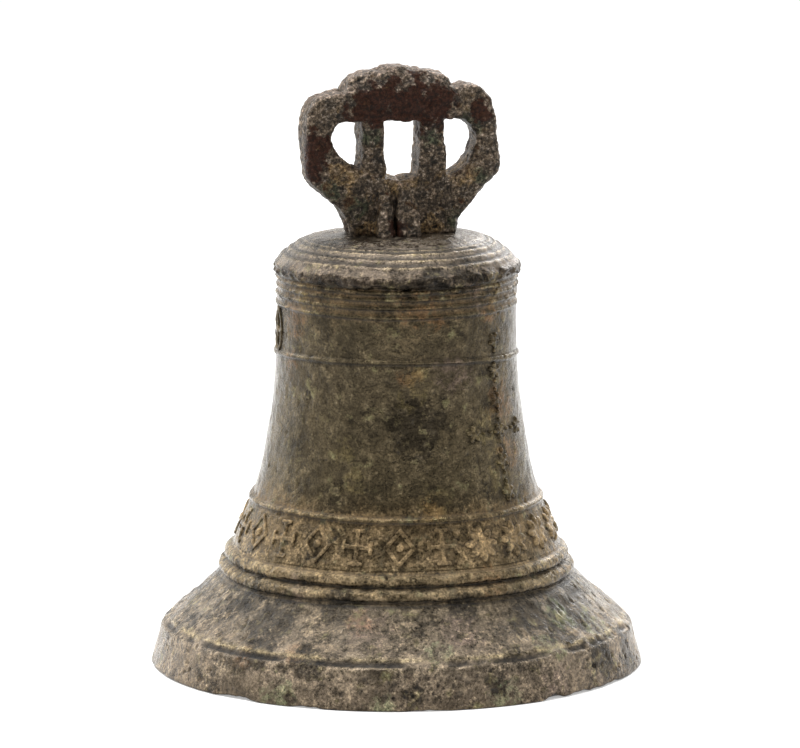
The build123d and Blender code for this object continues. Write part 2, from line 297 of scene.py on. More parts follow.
skirt_heights = climb(0.5, SEAM + OVERLAP, 1.0, 0.55)
skirt_outline = [(113.2, 0.0), (116.0, 0.0), (118.4, 0.05)]
skirt_outline += [(float(outside_radius(height)), float(height)) for height in skirt_heights]
skirt_outline += inside_points(0.8, SEAM + OVERLAP, 3.2)
skirt_outline += [skirt_outline[0]]
skirt = spun("bell_skirt", skirt_outline, SKIRT_STEPS)
count(skirt)

barrel_heights = climb(SEAM, 195.0, 1.25, 0.6)
barrel_outline = [(float(outside_radius(height)), float(height)) for height in barrel_heights]
over_head = np.concatenate([np.arange(59.0, 43.0, -0.6), np.arange(43.0, 24.0, -1.4), [16, 8, 0]])
barrel_outline += [(float(radius), float(head_height(radius))) for radius in over_head]
barrel_outline += [(radius, HEAD_UNDERSIDE) for radius in (0.0, 20.0, 39.0)] + [(45.5, 197.2), (50.0, 192.5)]
barrel_outline += inside_points(SEAM, 186.0, 4.5)
barrel_outline += [(71.0, SEAM), barrel_outline[0]]
barrel = spun("bell_barrel", barrel_outline, BARREL_STEPS)
count(barrel)

# %% [markdown]
# ## A surface poured in sand
# A turned mesh is too perfect. The strickle board wobbled, the sand moved, and the metal shrank, so the true
# surface wanders by half a millimetre over a hand's width, is lumpy at the size of a pea, and is grainy like
# coarse sand. A Displace modifier could do one of these. Here the vertices are moved by a small noise
# function, because the mouldings, the shoulder roll and the lip each need their own amount, and because the
# same function can then be used on the crown and the reliefs, so that all of them share one skin.

# %% Noise, craters and the casting's own irregularities
def lumps(places, size, seed):
    """Smooth random value from -1 to 1 at each place, with lumps of about that size."""
    grid = places / size + seed * 7.31
    cell = np.floor(grid)
    part = grid - cell
    part = part * part * (3 - 2 * part)
    total = np.zeros(len(places))
    for corner in np.ndindex(2, 2, 2):
        mixed = np.sin((cell + corner) @ (12.9898, 78.233, 37.719) + seed) * 43758.5453
        share = np.prod(np.where(corner, part, 1 - part), axis=1)
        total += (2 * (mixed - np.floor(mixed)) - 1) * share
    return total


def grain(places, size, seed, layers=3):
    """Lumps with smaller lumps on them."""
    return sum(lumps(places, size / 2 ** layer, seed + layer) / 2 ** layer for layer in range(layers))


def near(value, middle, reach):
    """1 at the middle, easing to 0 at the reach on either side."""
    away = np.clip(np.abs(value - middle) / reach, 0, 1)
    return (1 - away * away) ** 2


def turn_of(places):
    """Angle round the bell in degrees, from the front towards the right."""
    return np.degrees(np.arctan2(places[:, 0], -places[:, 1]))


def craters(places, seed, amount, turns, heights, sizes):
    """Depth in millimetres of scattered pits, between those angles and heights, of those radii."""
    chance = np.random.default_rng(seed)
    depth = np.zeros(len(places))
    round_axis = np.hypot(places[:, 0], places[:, 1])
    turn = turn_of(places)
    torn = 0.45 * grain(places, 1.9, seed + 300, 2)
    for _ in range(amount):
        at_turn, at_height = chance.uniform(*turns), chance.uniform(*heights)
        size = chance.uniform(*sizes)
        across = np.radians(turn - at_turn) * round_axis
        away = np.hypot(across, places[:, 2] - at_height) / size + torn
        bowl = np.clip(1 - away ** 2, 0, 1) * size * 0.6
        rim = 0.16 * size * np.exp(-((away - 1.15) / 0.22) ** 2)
        depth = np.maximum(depth, bowl) - np.where(bowl > 0, 0, rim * (depth < 0.05))
    return depth


def skin(places):
    """How far the rough skin of the wall stands out at each place, in millimetres."""
    broad = 0.40 * grain(places, 42, 11, 2) + 0.22 * grain(places, 11, 21, 2)
    return broad + 0.16 * grain(places, 3.4, 31, 2)


# %% Give the turned shells their cast surface
# Chips in the lip: angle and half width in degrees, and how much is missing.
CHIPS = [(-52, 7, 1.7), (-33, 5, 0.8), (36, 12, 1.0), (27, 4, 1.5), (49, 6, 0.9), (-5, 6, 0.5),
         (95, 12, 1.5), (140, 8, 1.2), (-120, 14, 1.6), (-160, 7, 1.0)]
# Pits: seed, number, range of angles, of heights and of radii.
SKIRT_PITS = [(5, 60, (-22, 17), (2.5, 15.5), (0.9, 2.2)), (8, 90, (-65, 65), (2.0, 20.0), (0.7, 1.6)),
              (6, 320, (-180, 180), (1.5, 42.0), (0.7, 1.4))]
BARREL_PITS = [(7, 260, (-180, 180), (60.0, 188.0), (0.6, 1.2))]
CREASE = (20.8, 1.9)  # the fold where the lip meets the flare: height and reach
CREASE_DEPTH = 1.5
# Height and reach of the painted highlight, partly rubbed wear, along the lip's edge above the crease.
LIP_EDGE = (22.6, 1.3)
MOUTH_LIMIT = 119.8
# Strength of the painted highlight, partly rubbed wear, on the crests of the ribs and of the wires.
BRIGHT_RIB, BRIGHT_WIRE = 0.45, 0.12


def cast(piece):
    """Move the vertices of a turned shell to make a rough casting of it."""
    places = points_of(piece) / MM
    normals = normals_of(piece)
    x, y, z = places.T
    outer = (np.hypot(x, y) > eased(z, INSIDE, 1, 0, 3.0) + 3.0) | (z > 196)
    turn = turn_of(places)

    # the wire on the waist sags, and every height wanders a little
    sag = near(z, 154, 9) * outer * (3.2 * np.cos(np.radians(turn + 20)) - 2.2)
    wander = 0.55 * lumps(places, 38, 3) * np.clip((z - 4) / 10, 0, 1) * np.clip((209 - z) / 8, 0, 1)
    z_new = z + sag + wander

    # skin, crease, flare, shoulder roll, rubble under it, band and worn ribs
    crease = near(z, *CREASE) * outer
    crease = crease * np.clip(1.4 * grain(places * (1, 1, 0.3), 12, 91, 3) + 0.7, 0, 1)
    amount = skin(places) - CREASE_DEPTH * crease
    flare = near(z, 30, 22) * outer
    amount = amount + flare * (0.34 * grain(places, 6, 41, 3) + 0.22 * grain(places, 2.6, 45, 2))
    roll = near(z, 193.4, 4.4) * outer
    ragged = grain(places * (1, 1, 1.6), 5.5, 51, 3)
    amount = amount + roll * (1.25 * ragged - 0.35 + 0.6 * lumps(places, 2.0, 54))
    z_new = z_new - roll * np.clip(ragged, 0, None) * 1.3
    rubble = near(z, 186, 13) * outer * np.clip(grain(places, 4.0, 61, 3) - 0.25, 0, None)
    amount = amount + 0.9 * rubble
    band = near(z, 69, 13) * outer
    amount = amount + band * 0.22 * grain(places, 2.6, 71, 3)
    worn = near(z, 51, 7.5) * outer
    rubbed = 0.5 * np.clip(grain(places * (1, 1, 2), 7, 75, 3), 0, None) + 0.3 * grain(places, 2.4, 77, 2)
    amount = amount - worn * rubbed
    for pits in SKIRT_PITS if z.min() < SEAM - OVERLAP else BARREL_PITS:
        amount = amount - outer * craters(places, *pits)
    amount = amount * np.where(z < 0.3, 0.0, np.where(outer, 1.0, 0.8))
    places = places + normals * amount[:, None]
    places[:, 2] += z_new - z

    # chips in the lip, and nothing past the engineering model
    low = near(z, 0, 5.5) * outer
    for middle, half_width, missing in CHIPS:
        bite = near(turn, middle, half_width) * missing * (1 + 0.5 * lumps(places, 3.0, 81))
        places[:, 2] += low * np.clip(bite, 0, None) * 0.8
        places[:, :2] *= (1 - low * np.clip(bite, 0, None) * 0.9 / 119)[:, None]
    reach = np.hypot(places[:, 0], places[:, 1])
    places[:, :2] *= np.minimum(1, MOUTH_LIMIT / np.maximum(reach, 1))[:, None]
    places[:, 2] = np.maximum(places[:, 2], 0.0)
    put_points(piece, places * MM)

    # marks for the finish: painted highlights, partly rubbed wear, on the upper edges of the lip and mouldings,
    # and painted shade in the crease and the grooves under them
    broken = np.clip(0.75 + 0.9 * grain(places, 14, 95, 3), 0.15, 1)
    edge, groove_shade = near(z, *LIP_EDGE) * broken * (z < 30), crease.copy()
    for middle, half_width, _ in RIBS + WIRES:
        bright = BRIGHT_RIB if half_width > 2 else BRIGHT_WIRE
        edge += bright * near(z, middle + 0.4 * half_width, 0.8 * half_width) * broken
        groove_shade += 0.5 * near(z, middle - 1.3 * half_width, 0.9 * half_width)
    for middle, half_width, _ in HEAD_RINGS:
        edge += 0.45 * near(np.hypot(x, y), middle, 0.9) * broken * (z > 196)
        groove_shade += 0.8 * near(np.hypot(x, y), middle - 1.9, 1.2) * (z > 196)
    store(piece, "edge", np.clip(edge * outer, 0, 1))
    store(piece, "groove_shade", np.clip(groove_shade * outer, 0, 1))


def note_hollows(piece, rounds, name):
    """Store how far each vertex lies below the smoothed surface, in millimetres."""
    take(piece)
    bpy.ops.object.duplicate()
    copy = bpy.context.object
    copy.modifiers.new("Smooth", "SMOOTH").iterations = rounds
    apply_all(copy)
    below = ((points_of(copy) - points_of(piece)) * normals_of(piece)).sum(axis=1) / MM
    bpy.data.objects.remove(copy)
    store(piece, name, below)
    print(f"{piece.name}: {name} from {below.min():.2f} to {below.max():.2f} mm")


for shell in (skirt, barrel):
    cast(shell)
    note_hollows(shell, 6, "fine_hollow")
    smooth(shell)

# %% [markdown]
# ## The crown
# The crown is a flat slab pierced by three windows. Two canons curve out like handles, two posts stand in
# the middle, and a heavy block lies across the top, with the stub of the sprue on it. At the foot two pairs
# of small ribs lean out to the front and back. Each member is drawn as an outline and extruded, or cut from
# a cube. Booleans would leave sharp seams between them, and a real crown has none, so a voxel remesh melts
# them into one skin.

# %% Outlines of the crown's members, in millimetres across and up
RIGHT_HALF = [
    (20, 274), (27.5, 279.4), (33.6, 281.2), (39.6, 279.4), (44.6, 273.8), (47.0, 266.0), (47.8, 255.0),
    (49.4, 243.5), (48.6, 239.2), (42.4, 233.0), (35.0, 224.4), (28.4, 216.5), (26.4, 207.8), (0, 207.8),
    (0, 236.4), (9.0, 236.6), (18.8, 236.4), (25.0, 237.2), (31.0, 240.6), (35.8, 247.2), (37.9, 254.4),
    (36.6, 260.0), (32.0, 263.8), (26.5, 264.8), (20, 264.4),
]
LEFT_HALF = [
    (-20, 274), (-28.4, 277.6), (-35.0, 277.2), (-41.4, 274.8), (-44.8, 270.4), (-45.8, 262.0),
    (-45.6, 250.0), (-45.2, 239.6), (-43.6, 235.2), (-36.6, 228.6), (-29.4, 222.6), (-24.6, 215.0),
    (-23.8, 207.8), (0, 207.8), (0, 236.4), (-9.0, 236.6), (-18.8, 240.4), (-24.2, 243.0), (-29.0, 247.6),
    (-33.2, 252.8), (-34.2, 258.0),
    (-32.0, 262.2), (-28.6, 264.4), (-25.0, 265.4), (-20, 265.0),
]
RIGHT_POST = [(10.6, 267.5), (22.0, 267.5), (21.4, 252), (22.4, 236), (8.4, 234), (10.2, 250)]
LEFT_POST = [(-8.6, 267.5), (-18.8, 267.5), (-18.4, 252), (-18.9, 238), (-6.4, 234), (-7.8, 250)]
SLAB_DEPTH = 20.6
BLOCK = (26.4, 11.9, 264.6, 285.6)  # half width, half depth, underside, top at its ends


def slab(name, outline, depth):
    """Extrude a closed outline in the XZ plane to a slab that lies evenly about that plane."""
    piece = traced(name, [(across, -depth / 2, up) for across, up in outline])
    bpy.ops.mesh.select_all(action="SELECT")
    bpy.ops.mesh.edge_face_add()
    bpy.ops.mesh.extrude_region_move(TRANSFORM_OT_translate={"value": (0, depth * MM, 0)})
    face_outwards(piece)
    return piece


def block(name, low, high):
    """A cube stretched between two corners."""
    leave_all()
    middle = [(a + b) / 2 * MM for a, b in zip(low, high)]
    span = [(b - a) * MM for a, b in zip(low, high)]
    bpy.ops.mesh.primitive_cube_add(size=1, location=middle, scale=span)
    piece = bpy.context.object
    piece.name = name
    settle(piece)
    return piece


def rounded(piece, width, segments=2):
    """Bevel the piece's sharp edges."""
    bevel = piece.modifiers.new("Bevel", "BEVEL")
    bevel.width = width * MM
    bevel.segments = segments
    bevel.limit_method = "ANGLE"
    apply_all(piece)
    return piece


def melted(piece, voxel, rounds):
    """Melt the piece's parts into one skin and soften it."""
    remesh = piece.modifiers.new("Melt", "REMESH")
    remesh.mode = "VOXEL"
    remesh.voxel_size = voxel * MM
    soften = piece.modifiers.new("Soften", "SMOOTH")
    soften.factor = 0.5
    soften.iterations = rounds
    apply_all(piece)
    return piece


# %% Build the crown's members and melt them together
members = [
    rounded(slab(name, outline, SLAB_DEPTH), bevel) for name, outline, bevel in (
        ("right_canon", RIGHT_HALF, 2.6), ("left_canon", LEFT_HALF, 2.6),
        ("right_post", RIGHT_POST, 2.0), ("left_post", LEFT_POST, 2.0))
]

half_width, half_depth, underside, top = BLOCK
head_block = block("head_block", (-half_width, -half_depth, underside), (half_width, half_depth, top))
enter(head_block, "SELECT")
bpy.ops.mesh.subdivide(number_cuts=7)
leave_all()
arched = points_of(head_block)
share = np.clip((arched[:, 2] / MM - underside) / (top - underside), 0, 1)
arched[:, 2] += share ** 2 * (3.0 * MM) * np.cos(arched[:, 0] / MM / half_width * math.pi / 2)
slope = np.clip((share - 0.62) / 0.38, 0, 1) ** 1.2
arched[:, 0] *= 1 - 0.12 * slope
arched[:, 1] *= 1 - 0.42 * slope
put_points(head_block, arched)
members.append(rounded(head_block, 1.8, 3))

STUB_RADIUS, STUB_HEIGHT = 7.6, 7.0
leave_all()
bpy.ops.mesh.primitive_cylinder_add(vertices=32, radius=STUB_RADIUS * MM, depth=STUB_HEIGHT * MM,
                                    location=(-1.5 * MM, 0, 286.2 * MM))
settle(bpy.context.object)
members.append(rounded(bpy.context.object, 1.4))

FOOT_RIBS = [(-12.2, -4.6), (-2.8, 8.2)]  # left and right sides of each
for left, right in FOOT_RIBS:
    for side in (-1, 1):
        near_y, far_y = sorted((side * 7.0, side * 11.6))
        rib = block("foot_rib", (left, near_y, 207.8), (right, far_y, 234.5))
        pick(rib, lambda at, side=side: at.z < 0.210 and at.y * side > 0.009, "VERT")
        bpy.ops.transform.translate(value=(0, side * 8.6 * MM, 0))
        pick(rib, lambda at: at.z > 0.234)
        bpy.ops.transform.resize(value=(0.78, 1, 1), center_override=((left + right) / 2 * MM, 0, 0))
        leave_all()
        members.append(rounded(rib, 2.3, 4))

CROWN_TOP = 290.2
crown = melted(joined("crown", members), 0.62, 12)
places = points_of(crown) / MM
rough = 0.35 + 0.65 * grain(places, 9, 101, 2) + 0.62 * grain(places, 3.8, 111, 3)
rough = rough + 0.16 * lumps(places, 1.3, 121) - 0.9 * np.clip(lumps(places, 2.6, 131) - 0.45, 0, None)
fins = near(np.abs(places[:, 0]), 14, 6) * near(places[:, 2], 252, 18) * near(np.abs(places[:, 1]), 9.5, 4)
rough = rough + 1.6 * fins * np.clip(lumps(places * (1, 1, 0.7), 2.4, 141) - 0.15, 0, None)
places = places + normals_of(crown) * (rough * np.clip((places[:, 2] - 206) / 4, 0, 1))[:, None]
places[:, 2] = np.minimum(places[:, 2], CROWN_TOP)
put_points(crown, places * MM)
note_hollows(crown, 5, "fine_hollow")
note_hollows(crown, 40, "hollow")
smooth(crown)

# %% [markdown]
# ## Ornament on the band and the waist
# The founder pressed wax shapes onto the model, so each motif is a soft form about a millimetre proud.
# One flat master of each motif is modelled lying down, melted and softened, and then copied. Every copy is
# wrapped onto the wall at its own angle: its width turns into an angle, its height climbs the slope, and its
# thickness stands out from the wall, with its back sunk under the skin so that no gap shows. A Shrinkwrap
# modifier could press it on, but it would flatten the relief against the rough wall.

# %% Helpers for flat masters and for wrapping them
SINK = 1.1  # how deep a motif's back lies under the wall, in millimetres


def disc(radius, height, sides=20):
    """A low round boss with a rounded edge."""
    leave_all()
    bpy.ops.mesh.primitive_cylinder_add(vertices=sides, radius=radius * MM, depth=height * MM,
                                        location=(0, 0, height / 2 * MM))
    settle(bpy.context.object)
    return rounded(bpy.context.object, min(radius, height) * 0.45)


def petal(reach, length, width, height, turn):
    """A flattened ball drawn out into a petal that points away from the middle."""
    leave_all()
    angle = math.radians(turn)
    place = (reach * math.cos(angle) * MM, reach * math.sin(angle) * MM, height * 0.35 * MM)
    bpy.ops.mesh.primitive_ico_sphere_add(subdivisions=3, radius=1, location=place, rotation=(0, 0, angle),
                                          scale=(length / 2 * MM, width / 2 * MM, height * MM))
    settle(bpy.context.object)
    return bpy.context.object


def bar(start, end, width, height):
    """A raised bar between two points of the flat, wider at its foot than at its top."""
    leave_all()
    run = Vector(end) - Vector(start)
    middle = (Vector(end) + Vector(start)) / 2 * MM
    bpy.ops.mesh.primitive_cube_add(size=1, location=(middle.x, middle.y, height / 2 * MM),
                                    rotation=(0, 0, math.atan2(run.y, run.x)),
                                    scale=((run.length + width) * MM, width * MM, height * MM))
    settle(bpy.context.object)
    return rounded(bpy.context.object, width * 0.3, 3)


def master(name, parts, voxel=0.42, rounds=4):
    """Join the parts of a motif, melt them and soften them."""
    whole = melted(joined(name, parts), voxel, rounds)
    count(whole)
    return whole


def wrapped(flat, turn, height, slope, scale=1.0, lean=0.0):
    """A copy of a flat master pressed onto the wall at that angle and height."""
    take(flat)
    bpy.ops.object.duplicate()
    copy = bpy.context.object
    across, up, out = (points_of(copy) / MM).T
    tilt = math.radians(lean)
    across, up = (across * math.cos(tilt) - up * math.sin(tilt),
                  across * math.sin(tilt) + up * math.cos(tilt))
    rise = height + up * scale * math.cos(slope)
    radius = wall_radius(rise) + out - SINK
    angle = np.radians(turn) + across * scale / wall_radius(np.array([height]))[0]
    rise = rise + out * 0.3 * math.sin(slope)
    places = np.stack([radius * np.sin(angle), -radius * np.cos(angle), rise], 1)
    drift = 0.55 * lumps(places, 38, 3)
    rough = skin(places) + 0.24 * grain(places, 3.0, 151, 2)
    places[:, 0] += rough * np.sin(angle)
    places[:, 1] -= rough * np.cos(angle)
    places[:, 2] += drift
    put_points(copy, places * MM)
    store(copy, "proud", out - SINK)
    return copy


def finish_relief(name, copies, flats):
    """Join the pressed copies to one relief and drop the masters."""
    relief = joined(name, copies)
    face_outwards(relief)
    for flat in flats:
        bpy.data.objects.remove(flat)
    note_hollows(relief, 4, "fine_hollow")
    smooth(relief)
    return relief


# %% Motifs of the band: rosettes, lozenges and crosslets
MOTIFS = 23
ROSETTES = 7
FIRST_ROSETTE = 20.5  # angle in degrees
ROSETTE_SCALE = 1.12
BAND_MIDDLE = 69.2
BAND_SLOPE = math.atan2(9.0, 23.2)
PROUD = 1.9  # full thickness of a motif, its sunk back included

petals = [petal(4.7, 7.4, 3.9, PROUD + 0.1, 45 * place) for place in range(8)]
rosette = master("rosette", petals + [disc(2.1, PROUD + 0.4)], 0.42, 3)

corners = [(-6.6, 0), (0, 8.2), (6.6, 0), (0, -8.2)]
edges = [bar(corners[i], corners[(i + 1) % 4], 2.3, PROUD) for i in range(4)]
lozenge = master("lozenge", edges + [disc(2.2, PROUD + 0.3)])

arms = []
for place in range(4):
    angle = math.pi / 2 * place
    tip = Vector((math.cos(angle), math.sin(angle))) * (8.0 if place % 2 else 6.6)
    side = Vector((-math.sin(angle), math.cos(angle))) * 2.6
    arms += [bar((0, 0), tip, 2.4, PROUD), bar(tip - side, tip + side, 2.2, PROUD)]
crosslet = master("crosslet", arms)

pressed = []
for place in range(MOTIFS):
    flat = rosette if place < ROSETTES else (lozenge if place % 2 else crosslet)
    turn = FIRST_ROSETTE + place * 360 / MOTIFS
    size = ROSETTE_SCALE if place < ROSETTES else 1.0
    pressed.append(wrapped(flat, turn, BAND_MIDDLE, BAND_SLOPE, size, 3.0 * math.sin(5 * place)))
band_relief = finish_relief("band_relief", pressed, [rosette, lozenge, crosslet])

# %% [markdown]
# ## The cross of florets
# The cross on the waist is a column of small florets with an arm on each side. The wax was soft, so the
# florets are uneven in size and turn, and small beads run between them.

# %% Florets, beads and the plaque
CROSS_TURN = 41.0  # angle in degrees
CROSS_ARM = 16  # angle from the column to the end of an arm
CROSS_FOOT = 90.0
CROSS_PITCH = 14.5
WAIST_SLOPE = 0.1

floret_parts = [petal(2.7, 3.6, 2.9, PROUD - 0.1, 72 * place + 18) for place in range(5)]
floret = master("floret", floret_parts + [disc(1.5, PROUD + 0.35, sides=14)], 0.4, 3)
bead = master("bead", [petal(0, 3.0, 2.2, PROUD - 0.2, 0)], 0.35, 2)

pressed = []
chance = np.random.default_rng(17)
for place in range(6):
    height = CROSS_FOOT + place * CROSS_PITCH
    size, lean = chance.uniform(0.9, 1.12), chance.uniform(0, 72)
    pressed.append(wrapped(floret, CROSS_TURN, height, WAIST_SLOPE, size, lean))
    if place < 5:
        for part in (0.36, 0.64):
            pressed.append(wrapped(bead, CROSS_TURN, height + part * CROSS_PITCH, WAIST_SLOPE, 1.0, 90))
ARM_HEIGHT = CROSS_FOOT + 2 * CROSS_PITCH
for side in (-1, 1):
    end = CROSS_TURN + side * CROSS_ARM
    pressed.append(wrapped(floret, end, ARM_HEIGHT, WAIST_SLOPE, 1.0, chance.uniform(0, 72)))
    for part in (6.0, 10.0):
        pressed.append(wrapped(bead, CROSS_TURN + side * part, ARM_HEIGHT, WAIST_SLOPE))
cross_relief = finish_relief("cross_relief", pressed, [floret, bead])

PLAQUE_TURN = -91.0
PLAQUE_HEIGHT = 164.0
PLAQUE_HALF_WIDTH, PLAQUE_HALF_HEIGHT, PLAQUE_LINE = 5.6, 10.6, 1.9
oval = []
for place in range(17):
    angle = FULL_TURN * place / 16
    oval.append((PLAQUE_HALF_WIDTH * math.cos(angle), PLAQUE_HALF_HEIGHT * math.sin(angle)))
rim = [bar(oval[place], oval[place + 1], PLAQUE_LINE, PROUD) for place in range(16)]
rim += [bar((0, -9.5), (0, 9.5), PLAQUE_LINE, PROUD), bar((-4.6, 0), (4.6, 0), PLAQUE_LINE, PROUD)]
plaque = master("plaque", rim + [disc(2.2, PROUD + 0.4)])
plaque_relief = finish_relief("plaque_relief", [wrapped(plaque, PLAQUE_TURN, PLAQUE_HEIGHT, 0.03)], [plaque])

# %% [markdown]
# ## Forged iron
# The staple, the clapper's shank and its ball were hammered at a forge, so they have the right form in the
# engineering model but need facets and scale. A copy of each node is merged, melted to an even skin and
# dented. The dents are broad and flat like a hammer's face, with fine scale over them.

# %% Hammer the iron pieces
def hammered(name, node, voxel, dent, size, seed):
    """A dented copy of a CAD node, in its own place."""
    take(nodes[node])
    bpy.ops.object.duplicate()
    piece = bpy.context.object
    piece.name = name
    piece.data.name = name
    for key in list(piece.keys()):
        del piece[key]
    piece.parent = None
    enter(piece, "SELECT")
    bpy.ops.mesh.remove_doubles(threshold=1e-5)
    leave_all()
    melted(piece, voxel, 2)
    places = points_of(piece) / MM
    blows = -dent * np.abs(lumps(places, size, seed))
    blows = blows - 0.3 * dent * np.abs(lumps(places, size / 2.4, seed + 5))
    scale_marks = 0.07 * grain(places, 1.6, seed + 9, 2)
    put_points(piece, (places + normals_of(piece) * (blows + scale_marks)[:, None]) * MM)
    note_hollows(piece, 8, "hollow")
    smooth(piece)
    return piece


staple = hammered("iron_staple", "clapper_staple", 0.5, 0.35, 6.0, 201)
shank = hammered("iron_shank", "clapper_shank", 0.6, 0.45, 8.0, 211)
ball = hammered("iron_ball", "clapper_ball", 0.6, 0.55, 9.0, 221)

# %% [markdown]
# ## The leather baldric
# The baldric is one strip of harness leather taken twice round on one side and riveted through both layers.
# It is drawn as the strip's edge: the outline goes round the outside, back along the inside, and is filled.
# Extruding the edge across the width gives a strip with a true thickness and a visible lap. The corners are
# rounded by a bevel, and shallow creases are pressed into it by noise.

# %% Draw the strip's edge and extrude it
EYE_HEIGHT = 148.0
BAR_HEIGHT = 176.0
STRAP_THICKNESS = 3.05
STRAP_WIDTH = 14.6
INNER = 4.35  # inside radius of the loop round a bar


def half_turn(radius, height, start):
    """Points on a half turn about a bar, from that angle, without its two ends."""
    angles = [start + math.pi * step / 16 for step in range(1, 16)]
    return [(radius * math.cos(angle), height + radius * math.sin(angle)) for angle in angles]


def strip_line():
    """Middle line of the leather, as (y, z) points: down the plain side, round both bars, up the lap."""
    mid = INNER + STRAP_THICKNESS / 2
    lap = mid + STRAP_THICKNESS + 0.08
    line = [(mid, EYE_HEIGHT + 4.5), (mid, EYE_HEIGHT + 14), (mid, BAR_HEIGHT)]
    line += half_turn(mid, BAR_HEIGHT, 0.0)
    line += [(-mid, BAR_HEIGHT), (-mid - 0.25, EYE_HEIGHT + 20), (-mid - 0.2, EYE_HEIGHT + 8),
             (-mid, EYE_HEIGHT)]
    line += half_turn(mid, EYE_HEIGHT, math.pi)
    line += [(mid, EYE_HEIGHT), (mid + 0.5, EYE_HEIGHT + 1.4), (lap - 0.5, EYE_HEIGHT + 3.0),
             (lap, EYE_HEIGHT + 4.8), (lap, EYE_HEIGHT + 14), (lap, BAR_HEIGHT - 3.2)]
    return line


def beside(line, offset):
    """The line moved sideways by the offset."""
    moved = []
    for place, (y, z) in enumerate(line):
        before, after = line[max(place - 1, 0)], line[min(place + 1, len(line) - 1)]
        along = Vector((after[0] - before[0], after[1] - before[1])).normalized()
        moved.append((y - along.y * offset, z + along.x * offset))
    return moved


strip = strip_line()
sides = beside(strip, STRAP_THICKNESS / 2) + beside(strip, -STRAP_THICKNESS / 2)[::-1]
leather = slab("leather_strap", sides, STRAP_WIDTH)
places = points_of(leather)
put_points(leather, np.stack([-places[:, 1], places[:, 0], places[:, 2]], 1))
face_outwards(leather)
melted(rounded(leather, 0.55), 0.42, 3)
places = points_of(leather) / MM
creases = 0.16 * grain(places * (0.35, 1, 2.2), 2.4, 301, 2) + 0.10 * lumps(places, 1.1, 311) - 0.05
put_points(leather, (places + normals_of(leather) * creases[:, None]) * MM)
note_hollows(leather, 8, "hollow")
smooth(leather)

rivets = hammered("copper_rivets", "baldric_rivets", 0.25, 0.10, 1.6, 231)
burrs = hammered("copper_burrs", "rivet_burrs", 0.22, 0.06, 1.4, 241)

# %% [markdown]
# ## Mixing the finishes
# All finishes are mixed from nodes, so they are made of noise and of the values stored on the meshes, and
# need no picture. A small class keeps the node wiring short: every method adds a node or two and hands back
# the output. The coordinates are Object coordinates, which are the frame's own metres, so a size in
# millimetres means the same on every piece.

